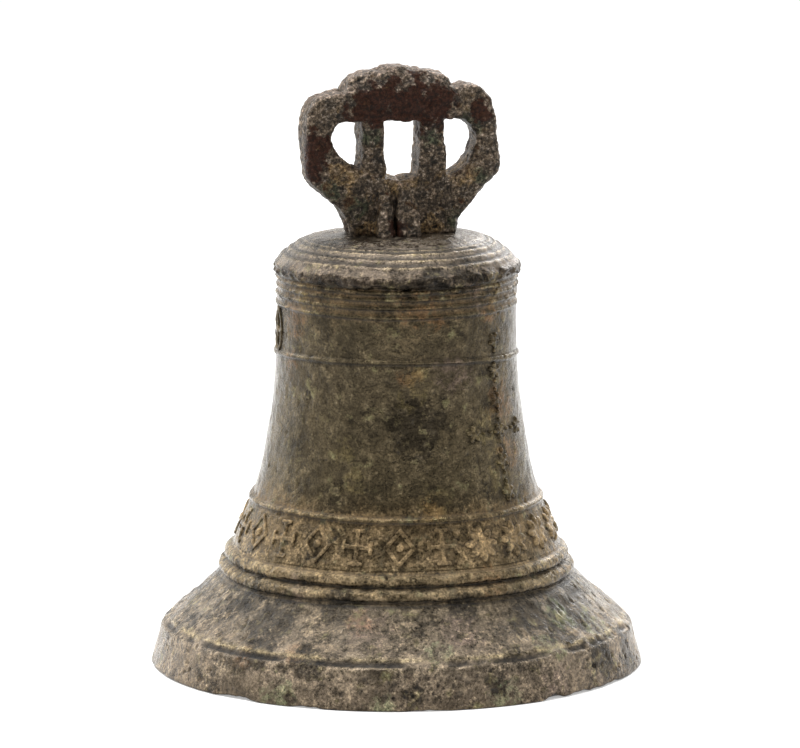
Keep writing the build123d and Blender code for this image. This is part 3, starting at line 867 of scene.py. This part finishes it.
# %% A class that wires up a material
class Finish:
    """A material being mixed: each method adds a node and returns its output."""

    def __init__(self, name):
        self.material = bpy.data.materials.new(name)
        self.material.use_nodes = True
        self.tree = self.material.node_tree
        self.shader = self.tree.nodes["Principled BSDF"]
        self.place = self.add("ShaderNodeTexCoord").outputs["Object"]
        self.height = self.add("ShaderNodeSeparateXYZ", self.place).outputs["Z"]

    def feed(self, socket, value):
        """Link an output to the socket, or set the socket's value."""
        if isinstance(value, bpy.types.NodeSocket):
            self.tree.links.new(value, socket)
        elif value is not None:
            socket.default_value = value

    def add(self, kind, *values, **settings):
        """Add a node with these settings and feed its inputs in order."""
        node = self.tree.nodes.new(kind)
        for name, value in settings.items():
            setattr(node, name, value)
        for socket, value in zip(node.inputs, values):
            self.feed(socket, value)
        return node

    def math(self, kind, first, second=None):
        """Add, subtract, multiply and so on."""
        return self.add("ShaderNodeMath", first, second, operation=kind).outputs[0]

    def noise(self, size, detail=3.0, rough=0.55, stretch=(1, 1, 1), seed=0.0):
        """Cloudy value round one half, with clouds of about that size in millimetres."""
        where = self.add("ShaderNodeVectorMath", self.place, stretch, (seed, seed, seed),
                         operation="MULTIPLY_ADD").outputs[0]
        node = self.add("ShaderNodeTexNoise")
        self.feed(node.inputs["Vector"], where)
        for name, value in (("Scale", 1 / (size * MM)), ("Detail", detail), ("Roughness", rough)):
            node.inputs[name].default_value = value
        return node.outputs[0]

    def cells(self, size, seed=0.0):
        """Distance from the nearest of many scattered points, in cells of that size."""
        where = self.add("ShaderNodeVectorMath", self.place, (seed, seed, seed), operation="ADD").outputs[0]
        node = self.add("ShaderNodeTexVoronoi")
        self.feed(node.inputs["Vector"], where)
        node.inputs["Scale"].default_value = 1 / (size * MM)
        return node.outputs["Distance"]

    def stored(self, name):
        """Value stored on the mesh under that name."""
        return self.add("ShaderNodeAttribute", attribute_name=name).outputs["Fac"]

    def grazing(self):
        """How far the surface turns away from the eye: 0 straight on, 1 at the outline."""
        return self.add("ShaderNodeLayerWeight").outputs["Facing"]

    def step(self, value, low, high, at_low=0.0, at_high=1.0):
        """Ease from one amount to the other as the value goes from low to high."""
        node = self.add("ShaderNodeMapRange", value, low, high, at_low, at_high,
                        interpolation_type="SMOOTHSTEP")
        return node.outputs[0]

    def both(self, *masks):
        """Where all the masks hold."""
        whole = masks[0]
        for mask in masks[1:]:
            whole = self.math("MULTIPLY", whole, mask)
        return whole

    def over(self, under, top, share):
        """Lay one colour over another by that share."""
        node = self.add("ShaderNodeMix", data_type="RGBA")
        for socket, value in ((node.inputs[0], share), (node.inputs[6], under), (node.inputs[7], top)):
            self.feed(socket, (*value, 1.0) if isinstance(value, tuple) else value)
        return node.outputs[2]

    def shaded(self, colour, amount):
        """Make a colour brighter or darker by an amount round one."""
        node = self.add("ShaderNodeVectorMath", operation="SCALE")
        self.feed(node.inputs[0], colour)
        self.feed(node.inputs["Scale"], amount)
        return node.outputs[0]

    def by_height(self, stops, waver=4.0):
        """A colour or an amount that changes up the piece, through stops of (height, value)."""
        low, high = stops[0][0], stops[-1][0]
        shifted = self.math("MULTIPLY_ADD", self.noise(17.0, 3.0, 0.6, seed=0.37), waver * MM * 2)
        self.feed(shifted.node.inputs[2], self.math("SUBTRACT", self.height, waver * MM))
        share = self.add("ShaderNodeMapRange", shifted, low * MM, high * MM).outputs[0]
        ramp = self.add("ShaderNodeValToRGB", share)
        band = ramp.color_ramp
        while len(band.elements) < len(stops):
            band.elements.new(0.5)
        for element, (height, value) in zip(band.elements, stops):
            element.position = (height - low) / (high - low)
        for element, (height, value) in zip(band.elements, stops):
            element.color = (*value, 1.0) if isinstance(value, tuple) else (value, value, value, 1.0)
        return ramp.outputs[0]

    def patch(self, name, tear, low=0.10, high=0.45):
        """Where the patches of that name lie, with torn edges: 1 inside, 0 outside."""
        torn = self.math("MULTIPLY_ADD", self.step(tear, 0.25, 0.75, -0.5, 0.5), 0.9)
        self.feed(torn.node.inputs[2], self.stored(name))
        return self.step(torn, low, high)

    def bumps(self, *layers):
        """Stack bump nodes, each given as (height value, distance in millimetres, strength)."""
        normal = None
        for value, distance, strength in layers:
            node = self.add("ShaderNodeBump")
            node.inputs["Distance"].default_value = distance * MM
            self.feed(node.inputs["Strength"], strength)
            self.feed(node.inputs["Height"], value)
            self.feed(node.inputs["Normal"], normal)
            normal = node.outputs[0]
        self.feed(self.shader.inputs["Normal"], normal)

    def done(self, colour, roughness, metallic):
        """Feed the shader and give back the material."""
        self.feed(self.shader.inputs["Base Color"], colour)
        self.feed(self.shader.inputs["Roughness"], roughness)
        self.feed(self.shader.inputs["Metallic"], metallic)
        print(f"{self.material.name}: {len(self.tree.nodes)} nodes")
        return self.material


def on_wall(patches):
    """Turn patches given as (angle, height, reach) on the wall into (x, y, z, reach)."""
    spots = []
    for turn, height, reach in patches:
        angle, radius = math.radians(turn), float(outside_radius(height))
        spots.append((radius * math.sin(angle), -radius * math.cos(angle), height, reach))
    return spots


def note_patches(piece, kinds):
    """Store for each kind how deep inside one of its patches a vertex lies, from 0 to 1."""
    places = points_of(piece) / MM
    for name, spots in kinds.items():
        depth = np.zeros(len(places))
        for *at, reach in spots:
            depth = np.maximum(depth, 1 - np.linalg.norm(places - at, axis=1) / reach)
        store(piece, name, depth)


RELIEF_LOW, RELIEF_HIGH = 0.056, 0.180  # heights between which the reliefs lie


def note_beside(piece, reliefs, reach):
    """Store how close each vertex of the wall lies to a relief, 1 under it and 0 beyond the reach, for the
    painted shade round the reliefs.
    """
    tree = kdtree.KDTree(sum(len(relief.data.vertices) for relief in reliefs))
    for relief in reliefs:
        for vertex in relief.data.vertices:
            tree.insert(vertex.co, 0)
    tree.balance()
    close = np.zeros(len(piece.data.vertices))
    for vertex in piece.data.vertices:
        if RELIEF_LOW < vertex.co.z < RELIEF_HIGH:
            close[vertex.index] = max(0.0, 1 - tree.find(vertex.co)[2] / (reach * MM))
    store(piece, "beside", close)
    print(f"{piece.name}: {int((close > 0).sum())} vertices beside the reliefs")


RELIEFS = (band_relief, cross_relief, plaque_relief)
for piece in (skirt, barrel, crown, *RELIEFS):
    store(piece, "upward", normals_of(piece)[:, 2])  # from -1 to 1: dust settles on what looks up, and painted shade darkens what looks down
note_beside(barrel, RELIEFS, 3.2)

# %% [markdown]
# ## Old bronze
# Bronze outdoors turns a dark olive brown. Tan dirt stays in every hollow and on whatever looks up, ochre
# earth stays round the bands, green salts break out in patches, and small pits are almost black. The finish
# is laid in that order. Two strips give the metal's and the dirt's colour at each height, a third gives how
# much dirt there is, and the hollows stored on the mesh decide where exactly it lies. The bare metal is
# mostly metallic, because a dark metal is dull from the front and bright along its edges. Dirt isn't
# metallic. The gloss sharpens where the wall turns away from the eye, so the outline catches the light.

# %% Colours by height on the wall
METAL = [
    (0, (0.125, 0.096, 0.066)), (10, (0.205, 0.160, 0.112)), (20, (0.160, 0.128, 0.092)),
    (30, (0.098, 0.081, 0.060)), (42, (0.088, 0.070, 0.047)), (48, (0.112, 0.082, 0.044)),
    (70, (0.125, 0.090, 0.046)), (84, (0.092, 0.067, 0.035)), (95, (0.094, 0.073, 0.041)),
    (150, (0.084, 0.065, 0.038)), (175, (0.058, 0.045, 0.025)), (189, (0.050, 0.037, 0.020)),
    (192, (0.034, 0.025, 0.018)), (196, (0.062, 0.047, 0.034)), (200, (0.112, 0.089, 0.067)),
    (210, (0.128, 0.105, 0.083)),
]
DIRT = [
    (0, (0.240, 0.182, 0.122)), (20, (0.245, 0.190, 0.132)), (42, (0.200, 0.155, 0.100)),
    (48, (0.255, 0.184, 0.097)), (70, (0.250, 0.174, 0.086)), (84, (0.165, 0.108, 0.046)),
    (95, (0.120, 0.088, 0.043)), (150, (0.125, 0.094, 0.049)), (175, (0.135, 0.088, 0.038)),
    (189, (0.165, 0.106, 0.046)), (193, (0.165, 0.122, 0.084)), (196, (0.185, 0.142, 0.100)),
    (200, (0.185, 0.145, 0.105)), (210, (0.175, 0.145, 0.110)),
]
DIRTINESS = [
    (0, 0.42), (20, 0.55), (42, 0.48), (46, 0.62), (58, 0.60), (70, 0.52), (84, 0.48), (94, 0.28),
    (150, 0.24), (172, 0.28), (178, 0.50), (189, 0.58), (192, 0.36), (197, 0.52), (210, 0.50),
]
ROUGH_SKIN = [(0, 1.0), (40, 0.95), (60, 0.85), (86, 0.5), (150, 0.42), (175, 0.50), (189, 0.60),
              (200, 0.8), (210, 0.6)]


# %% Mix the bronze of the wall
def wall_bronze(name, dirt_shift=0.0):
    """Patinated bronze for the bell's wall and what is cast on it."""
    mix = Finish(name)
    fine, upward = mix.stored("fine_hollow"), mix.stored("upward")
    rough_here = mix.by_height(ROUGH_SKIN)
    clouds = mix.noise(30, 5, 0.62, seed=1.1)
    streaks = mix.noise(9, 4, 0.6, stretch=(1, 1, 0.28), seed=1.7)
    mottle = mix.noise(5.0, 5, 0.66, seed=2.2)
    specks = mix.noise(1.5, 4, 0.65, seed=3.3)
    grit = mix.noise(0.8, 2, 0.6, seed=4.4)
    busy = mix.both(mix.step(mix.noise(19, 4, 0.6, seed=12.7), 0.38, 0.62, 0.30, 1.0), rough_here)

    metal = mix.by_height(METAL)
    metal = mix.over(metal, (0.026, 0.021, 0.013), mix.step(clouds, 0.52, 0.30, 0.0, 0.60))
    metal = mix.over(metal, (0.112, 0.092, 0.056), mix.step(mottle, 0.50, 0.72, 0.0, 0.50))

    lying = mix.math("ADD", mottle, mix.step(fine, -0.14, 0.18, -0.30, 0.30))
    lying = mix.math("ADD", lying, mix.step(upward, 0.1, 0.9, 0.0, 0.12))
    lying = mix.math("ADD", lying, mix.step(specks, 0.3, 0.7, -0.12, 0.12))
    lying = mix.math("ADD", lying, mix.step(clouds, 0.3, 0.7, -0.14, 0.14))
    threshold = mix.math("SUBTRACT", 1.0 - dirt_shift, mix.by_height(DIRTINESS))
    dirt_share = mix.step(mix.math("SUBTRACT", lying, threshold), -0.30, 0.36)
    colour = mix.over(metal, mix.by_height(DIRT), dirt_share)
    return mix, colour, dict(fine=fine, upward=upward, specks=specks, grit=grit, mottle=mottle,
                             dirt=dirt_share, skin=busy, streaks=streaks)


# %% Patches of verdigris, rust and dark metal on the wall
# Each is given as (angle in degrees, height, reach).
WALL_PATCHES = {
    "green": [(41, 34, 13), (52, 26, 12), (30, 24, 11), (-40, 5, 12), (-15, 3, 9), (14, 3, 12),
              (130, 36, 18), (-150, 30, 20), (-1, 26, 9), (175, 140, 14), (-110, 60, 14)],
    "rust": [(-2, 180, 12), (7, 174, 8), (-70, 172, 12), (-72, 150, 8), (38, 176, 8), (-6, 148, 8),
             (44, 132, 14), (46, 108, 12), (-22, 36, 9), (60, 52, 12), (150, 90, 18), (-140, 160, 14),
             (-38, 24, 8), (-52, 20, 8), (2, 86, 8), (20, 54, 12)],
    "dark": [(-2, 124, 20), (30, 36, 18), (-48, 24, 15), (-34, 21, 12), (12, 12, 8), (46, 14, 13),
             (-8, 8, 7), (-64, 40, 16), (6, 194, 12), (22, 194, 10), (-160, 80, 22), (100, 130, 22),
             (-30, 42, 13), (-50, 35, 18), (60, 12, 14), (46, 34, 18), (8, 41, 12), (56, 40, 14), (36, 26, 12)],
    "yellow": [(-2, 146, 9), (-6, 138, 9), (-36, 112, 8), (-30, 98, 9), (34, 120, 15), (37, 98, 13),
               (2, 88, 12), (-120, 120, 14), (120, 100, 16), (-60, 184, 12), (40, 186, 12)],
    "plum": [(-20, 34, 16), (6, 32, 15), (30, 186, 12), (-46, 50, 10), (28, 8, 12), (16, 150, 14)],
}
for piece in (skirt, barrel, *RELIEFS):
    note_patches(piece, {kind: on_wall(patches) for kind, patches in WALL_PATCHES.items()})
print("patches on the wall:", {kind: len(patches) for kind, patches in WALL_PATCHES.items()})

# %% Finish the wall
PIT_BLACK = (0.008, 0.006, 0.004)
# Colour and strength of the patches, in the order they are laid over the dark ones.
PATCH_TONES = [("plum", (0.165, 0.115, 0.100), 0.40), ("rust", (0.190, 0.082, 0.028), 0.32),
               ("yellow", (0.185, 0.145, 0.050), 0.26), ("green", (0.150, 0.185, 0.095), 0.42)]


def finish_wall(name, dirt_shift=0.0, relief=False):
    """The whole finish of the wall: bronze, patches, gloss and bumps."""
    mix, colour, parts = wall_bronze(name, dirt_shift)
    mottle, specks, grit, skin_here = parts["mottle"], parts["specks"], parts["grit"], parts["skin"]
    loose = mix.step(mottle, 0.40, 0.60)
    tear = mix.noise(8, 5, 0.66, seed=9.9)
    colour = mix.over(colour, (0.018, 0.014, 0.009), mix.both(mix.patch("dark", tear), 0.74))
    for kind, tone, strength in PATCH_TONES:
        colour = mix.over(colour, tone, mix.both(mix.patch(kind, tear), loose, strength))
    pale = mix.step(specks, 0.56, 0.74, 0.0, 0.75)
    colour = mix.over(colour, (0.370, 0.295, 0.190), mix.both(pale, skin_here, loose))
    # Painted highlight, partly rubbed wear: a pale line along the upper edges of the lip, ribs, wires and head
    # rings.
    rubbed = mix.both(mix.stored("edge"), mix.step(mottle, 0.36, 0.56, 0.25, 0.75))
    colour = mix.over(colour, (0.340, 0.270, 0.155), rubbed)

    # The shade is random tone from the noises, times painted shade and highlight: darker in hollows and lighter
    # on ridges, darker on what looks down, and darker in the crease and the grooves under the mouldings.
    swing = mix.both(mix.step(specks, 0.25, 0.75, -0.72, 0.72), mix.step(skin_here, 0, 1, 0.26, 1.0))
    crust = mix.both(mix.step(mottle, 0.34, 0.66, -0.48, 0.48), mix.step(skin_here, 0, 1, 0.35, 1.0))
    shade = mix.both(mix.math("ADD", swing, 1.0), mix.math("ADD", crust, 1.0),
                     mix.step(grit, 0.30, 0.70, 0.72, 1.28),
                     mix.step(parts["streaks"], 0.3, 0.7, 0.78, 1.20),
                     mix.step(parts["fine"], 0.30, -0.20, 0.62, 1.35),
                     mix.step(parts["upward"], -0.75, 0.30, 0.34, 1.0),
                     mix.step(mix.stored("groove_shade"), 0, 1, 1.0, 0.26))
    if relief:
        proud = mix.stored("proud")
        # Painted shade at each motif's foot and a painted highlight on its top.
        shade = mix.both(shade, mix.step(proud, -0.2, 0.5, 0.72, 1.0), mix.step(proud, 0.5, 1.3, 1.0, 1.22))
    else:
        # Painted shade on the wall close round the reliefs.
        shade = mix.both(shade, mix.step(mix.stored("beside"), 0.25, 0.8, 1.0, 0.74))
    colour = mix.shaded(colour, shade)
    colour = mix.over(colour, PIT_BLACK, mix.both(mix.step(specks, 0.36, 0.27), skin_here, 0.75))
    colour = mix.over(colour, PIT_BLACK, mix.step(parts["fine"], 0.22, 0.55, 0.0, 0.30 if relief else 0.85))
    gloss = mix.step(parts["dirt"], 0, 1, 0.34, 0.58)
    gloss = mix.math("ADD", gloss, mix.step(specks, 0.3, 0.7, -0.10, 0.10))
    gloss = mix.both(gloss, mix.step(mix.grazing(), 0.40, 0.85, 1.0, 0.42))
    metallic = mix.step(parts["dirt"], 0.0, 0.9, 0.85, 0.35)
    mix.bumps((mottle, 1.6, 0.45), (specks, 0.9, mix.step(skin_here, 0, 1, 0.20, 1.0)),
              (grit, 0.4, mix.step(skin_here, 0, 1, 0.20, 0.8)))
    return mix.done(colour, gloss, metallic)


bronze = finish_wall("old_bronze")
relief_bronze = finish_wall("relief_bronze", 0.14, relief=True)

# %% [markdown]
# ## Bronze of the crown
# The crown was never scraped clean, so it is darker and rougher than the wall. Dust lies on what looks up,
# ochre earth fills the window sills and the foot, and the block's faces keep a red-brown oxide.

# %% Mix the crown's bronze
# Patches on the crown, each given as (x, y, z, reach).
CROWN_PATCHES = {
    "red": [(2, -13, 271, 21), (-16, -13, 271, 15), (18, -13, 271, 14), (-41, -9, 252, 11),
            (-43, -9, 242, 9), (40, -8, 268, 8), (0, 13, 273, 17), (42, 9, 250, 10), (-4, -18, 214, 6)],
    "green": [(-22, -12, 274, 6), (33, -9, 262, 9), (-33, -9, 232, 8), (14, -9, 256, 7), (-14, -9, 258, 7),
              (40, -9, 236, 7), (26, -9, 216, 8), (-20, -9, 222, 8), (20, 10, 250, 12), (-30, 10, 226, 14)],
    "earth": [(0, -6, 236, 12), (-27, -4, 239, 13), (28, -4, 237, 13), (-17, -10, 211, 10),
              (14, -10, 211, 11), (31, -6, 270, 6), (-31, -6, 272, 6), (24, -6, 263, 6), (-22, -6, 263, 4),
              (0, 6, 236, 12), (-17, 9, 213, 9), (14, 9, 212, 10)],
}
note_patches(crown, CROWN_PATCHES)
mix = Finish("crown_bronze")
fine, broad, upward = mix.stored("fine_hollow"), mix.stored("hollow"), mix.stored("upward")
mottle = mix.noise(4.6, 5, 0.68, seed=5.1)
specks = mix.noise(1.6, 4, 0.66, seed=6.2)
grit = mix.noise(0.8, 2, 0.6, seed=7.3)
loose = mix.step(mottle, 0.38, 0.60)
colour = mix.over((0.029, 0.022, 0.015), (0.112, 0.082, 0.054), mix.step(mottle, 0.36, 0.64))
# Painted highlight, partly wear: the convex edges lighter, with more pale flecks on them.
worn = mix.step(broad, -0.10, -0.75, 0.0, 1.0)
colour = mix.over(colour, (0.190, 0.152, 0.122), mix.both(worn, mix.step(mottle, 0.36, 0.60), 0.60))
flecks = mix.both(mix.step(specks, 0.52, 0.70), mix.step(worn, 0, 1, 0.45, 1.0))
colour = mix.over(colour, (0.300, 0.250, 0.205), mix.both(flecks, 0.85))
tear = mix.noise(7, 5, 0.66, seed=9.9)
red = mix.patch("red", tear)
colour = mix.over(colour, (0.018, 0.036, 0.017), mix.both(mix.patch("green", tear), loose, 0.75))
dust = mix.math("ADD", mix.step(upward, 0.25, 0.95, 0.0, 0.70), mix.step(mottle, 0.35, 0.65, -0.30, 0.25))
colour = mix.over(colour, (0.165, 0.125, 0.098), mix.step(dust, 0.1, 0.8, 0.0, 0.8))
low = mix.step(broad, -0.25, 0.1, 0.25, 1.0)
earth = mix.both(mix.patch("earth", tear), low, mix.step(specks, 0.3, 0.5), 0.85)
colour = mix.over(colour, (0.235, 0.155, 0.070), earth)
# Random tone from the noises, times painted shade and highlight: darker in hollows, lighter on ridges, darker
# on what looks down.
shade = mix.both(mix.step(specks, 0.28, 0.72, 0.24, 2.1), mix.step(grit, 0.30, 0.70, 0.6, 1.5),
                 mix.step(fine, 0.10, -0.10, 0.40, 1.6), mix.step(upward, -0.8, 0.2, 0.45, 1.0))
colour = mix.shaded(colour, shade)
colour = mix.over(colour, (0.006, 0.005, 0.003), mix.step(specks, 0.40, 0.30, 0.0, 0.8))
oxide = mix.over((0.014, 0.007, 0.005), (0.042, 0.013, 0.007), mix.step(specks, 0.35, 0.65))
colour = mix.over(colour, oxide, mix.both(red, mix.step(mottle, 0.25, 0.45, 0.55, 0.95)))
mix.feed(mix.shader.inputs["Specular IOR Level"], mix.step(red, 0, 1, 0.5, 0.1))
mix.bumps((mottle, 2.0, 0.5), (specks, 1.2, mix.step(red, 0, 1, 0.9, 0.4)),
          (grit, 0.6, mix.step(red, 0, 1, 0.8, 0.4)))
crown_bronze = mix.done(colour, mix.step(mottle, 0.3, 0.7, 0.32, 0.54), mix.step(red, 0, 1, 0.6, 0.0))

# %% [markdown]
# ## Iron, leather and copper inside
# The iron hangs indoors of the bell and only rusts slowly: black scale with brown rust in the dents, and the
# ball is bare where it strikes. The leather is dark and greasy, paler where it bends. The rivets are copper.

# %% Mix the iron
mix = Finish("wrought_iron")
dents = mix.stored("hollow")
mottle = mix.noise(7.0, 5, 0.62, seed=8.1)
specks = mix.noise(1.1, 3, 0.6, seed=9.2)
colour = mix.over((0.020, 0.017, 0.015), (0.052, 0.040, 0.031), mix.step(mottle, 0.35, 0.65))
rust = mix.both(mix.step(mix.math("ADD", mottle, mix.step(dents, -0.08, 0.1, -0.1, 0.15)), 0.45, 0.62),
                mix.step(specks, 0.35, 0.6))
colour = mix.over(colour, (0.150, 0.052, 0.018), mix.both(rust, 0.85))
colour = mix.over(colour, (0.235, 0.105, 0.040), mix.both(rust, mix.step(specks, 0.58, 0.7), 0.8))
rubbed = mix.both(mix.step(dents, -0.02, -0.12), mix.step(rust, 0, 1, 1, 0))
colour = mix.over(colour, (0.120, 0.108, 0.098), mix.both(rubbed, 0.6))
mix.bumps((mottle, 0.8, 0.3), (specks, 0.4, 0.6))
wrought_iron = mix.done(colour, mix.step(rust, 0, 1, 0.48, 0.86), 0.35)

# %% Mix the leather
mix = Finish("old_leather")
creases = mix.stored("hollow")
clouds = mix.noise(9.0, 4, 0.6, seed=10.1)
pores = mix.cells(0.95, seed=0.21)
fibre = mix.noise(0.8, 3, 0.6, stretch=(0.35, 1, 1), seed=11.3)
colour = mix.over((0.036, 0.017, 0.008), (0.085, 0.043, 0.020), mix.step(clouds, 0.36, 0.64))
colour = mix.over(colour, (0.016, 0.008, 0.004), mix.both(mix.step(creases, 0.01, 0.07), 0.8))
raised = mix.both(mix.step(creases, -0.03, -0.09), mix.step(fibre, 0.4, 0.6), 0.7)
colour = mix.over(colour, (0.170, 0.098, 0.050), raised)
colour = mix.over(colour, (0.020, 0.010, 0.005), mix.both(mix.step(pores, 0.22, 0.08), 0.5))
mix.bumps((clouds, 0.6, 0.3), (pores, 0.25, 0.6), (fibre, 0.2, 0.5))
old_leather = mix.done(colour, mix.step(clouds, 0.3, 0.7, 0.42, 0.62), 0.0)

# %% Mix the copper
mix = Finish("dull_copper")
dents = mix.stored("hollow")
mottle = mix.noise(2.4, 4, 0.6, seed=12.1)
colour = mix.over((0.105, 0.044, 0.022), (0.240, 0.110, 0.062), mix.step(mottle, 0.4, 0.62))
green = mix.both(mix.step(dents, 0.0, 0.04), mix.step(mottle, 0.5, 0.62), 0.7)
colour = mix.over(colour, (0.060, 0.130, 0.088), green)
mix.bumps((mottle, 0.25, 0.5))
dull_copper = mix.done(colour, mix.step(mottle, 0.3, 0.7, 0.35, 0.62), 0.75)

# %% [markdown]
# ## Putting the pieces on the frame
# Every piece says which body it moves with, which nodes of the engineering model it stands in for, and which
# finish of the record it wears.

# %% Ride, replace and wear
PLACES = [
    (skirt, "bell", ["bell_body"], "bronze", bronze),
    (barrel, "bell", ["bell_body"], "bronze", bronze),
    (crown, "bell", ["crown_base", "crown_head", "left_canon", "right_canon", "left_post", "right_post",
                     "sprue_stub"], "crown_bronze", crown_bronze),
    (band_relief, "bell", ["band_ornament"], "relief_bronze", relief_bronze),
    (cross_relief, "bell", ["waist_cross"], "relief_bronze", relief_bronze),
    (plaque_relief, "bell", ["waist_plaque"], "relief_bronze", relief_bronze),
    (staple, "bell", ["clapper_staple"], "wrought_iron", wrought_iron),
    (leather, "baldric", ["baldric_strap"], "leather", old_leather),
    (rivets, "baldric", ["baldric_rivets"], "copper", dull_copper),
    (burrs, "baldric", ["rivet_burrs"], "copper", dull_copper),
    (shank, "clapper", ["clapper_shank"], "wrought_iron", wrought_iron),
    (ball, "clapper", ["clapper_ball"], "wrought_iron", wrought_iron),
]
for piece, body, stood_for, slot_name, finish in PLACES:
    piece.data.materials.clear()
    piece.data.materials.append(finish)
    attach(piece, body)
    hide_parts(*stood_for)
    print(f"{piece.name} rides on {body}")

# %% [markdown]
# ## Floor, light and camera
# The bell stands on a white floor wide enough to fill the view. The sky is bright behind the bell and dims
# towards the camera, so the sides get pale rims and the front stays dark. One soft panel lights the head and
# the flare from above, and two weaker ones stand behind the bell at its sides.

# %% Floor
leave_all()
FLOOR_SIZE = 40.0
bpy.ops.mesh.primitive_plane_add(size=FLOOR_SIZE)
floor = bpy.context.object
floor.name = "floor"
mix = Finish("white_floor")
for name, value in (("Base Color", (0.86, 0.86, 0.86, 1)), ("Roughness", 0.9), ("Specular IOR Level", 0.1),
                    ("Emission Color", (1, 1, 1, 1)), ("Emission Strength", 0.38)):
    mix.shader.inputs[name].default_value = value
floor.data.materials.append(mix.material)

# %% Sky and lamps
# Where the sky changes, from the camera's side to behind the bell, and how bright it is there.
SKY_FROM, SKY_TO = -0.95, 0.1
SKY_FRONT, SKY_BACK = 0.15, 0.9
LAMP_AIM = Vector((0, 0, 0.1))
# Name, place, size of the panel and power.
LAMPS = [("top_panel", (-0.2, 0.1, 1.8), 0.9, 24), ("left_panel", (-1.3, 1.6, 1.0), 1.0, 14),
         ("right_panel", (1.2, 1.7, 1.0), 1.0, 17)]
scene = bpy.context.scene
world = bpy.data.worlds.new("studio")
scene.world = world
world.use_nodes = True
tree = world.node_tree
sky = tree.nodes["Background"]
direction = tree.nodes.new("ShaderNodeTexCoord")
split = tree.nodes.new("ShaderNodeSeparateXYZ")
tree.links.new(direction.outputs["Generated"], split.inputs[0])
fade = tree.nodes.new("ShaderNodeMapRange")
fade.interpolation_type = "SMOOTHSTEP"
for socket, value in zip(fade.inputs[1:5], (SKY_FROM, SKY_TO, SKY_FRONT, SKY_BACK)):
    socket.default_value = value
tree.links.new(split.outputs["Y"], fade.inputs[0])
tree.links.new(fade.outputs[0], sky.inputs["Strength"])
sky.inputs["Color"].default_value = (1.0, 0.99, 0.97, 1)
for name, place, size, power in LAMPS:
    leave_all()
    bpy.ops.object.light_add(type="AREA", location=place)
    panel = bpy.context.object
    panel.name = name
    panel.data.size = size
    panel.data.energy = power
    panel.rotation_euler = (LAMP_AIM - Vector(place)).to_track_quat("-Z", "Y").to_euler()
    print(f"{name}: {power} W")

# %% Camera
CAMERA_PLACE = Vector((-0.5385, -2.5334, 0.575))
AIM_HEIGHT = 0.140
AIM_ASIDE = 0.0017  # the view's middle lies a little to the right of the bell's axis
LENS = 244.4
leave_all()
bpy.ops.object.camera_add(location=CAMERA_PLACE)
camera = bpy.context.object
back = Vector((CAMERA_PLACE.x, CAMERA_PLACE.y, 0)).normalized()
right = Vector((-back.y, back.x, 0))
aim = right * AIM_ASIDE + Vector((0, 0, AIM_HEIGHT))
camera.rotation_euler = (aim - CAMERA_PLACE).to_track_quat("-Z", "Y").to_euler()
camera.data.lens = LENS
camera.data.sensor_width = 36
camera.data.clip_end = 100
scene.camera = camera
scene.view_settings.view_transform = "Standard"
scene.view_settings.look = "None"
print("camera looks from", tuple(round(value, 3) for value in CAMERA_PLACE))
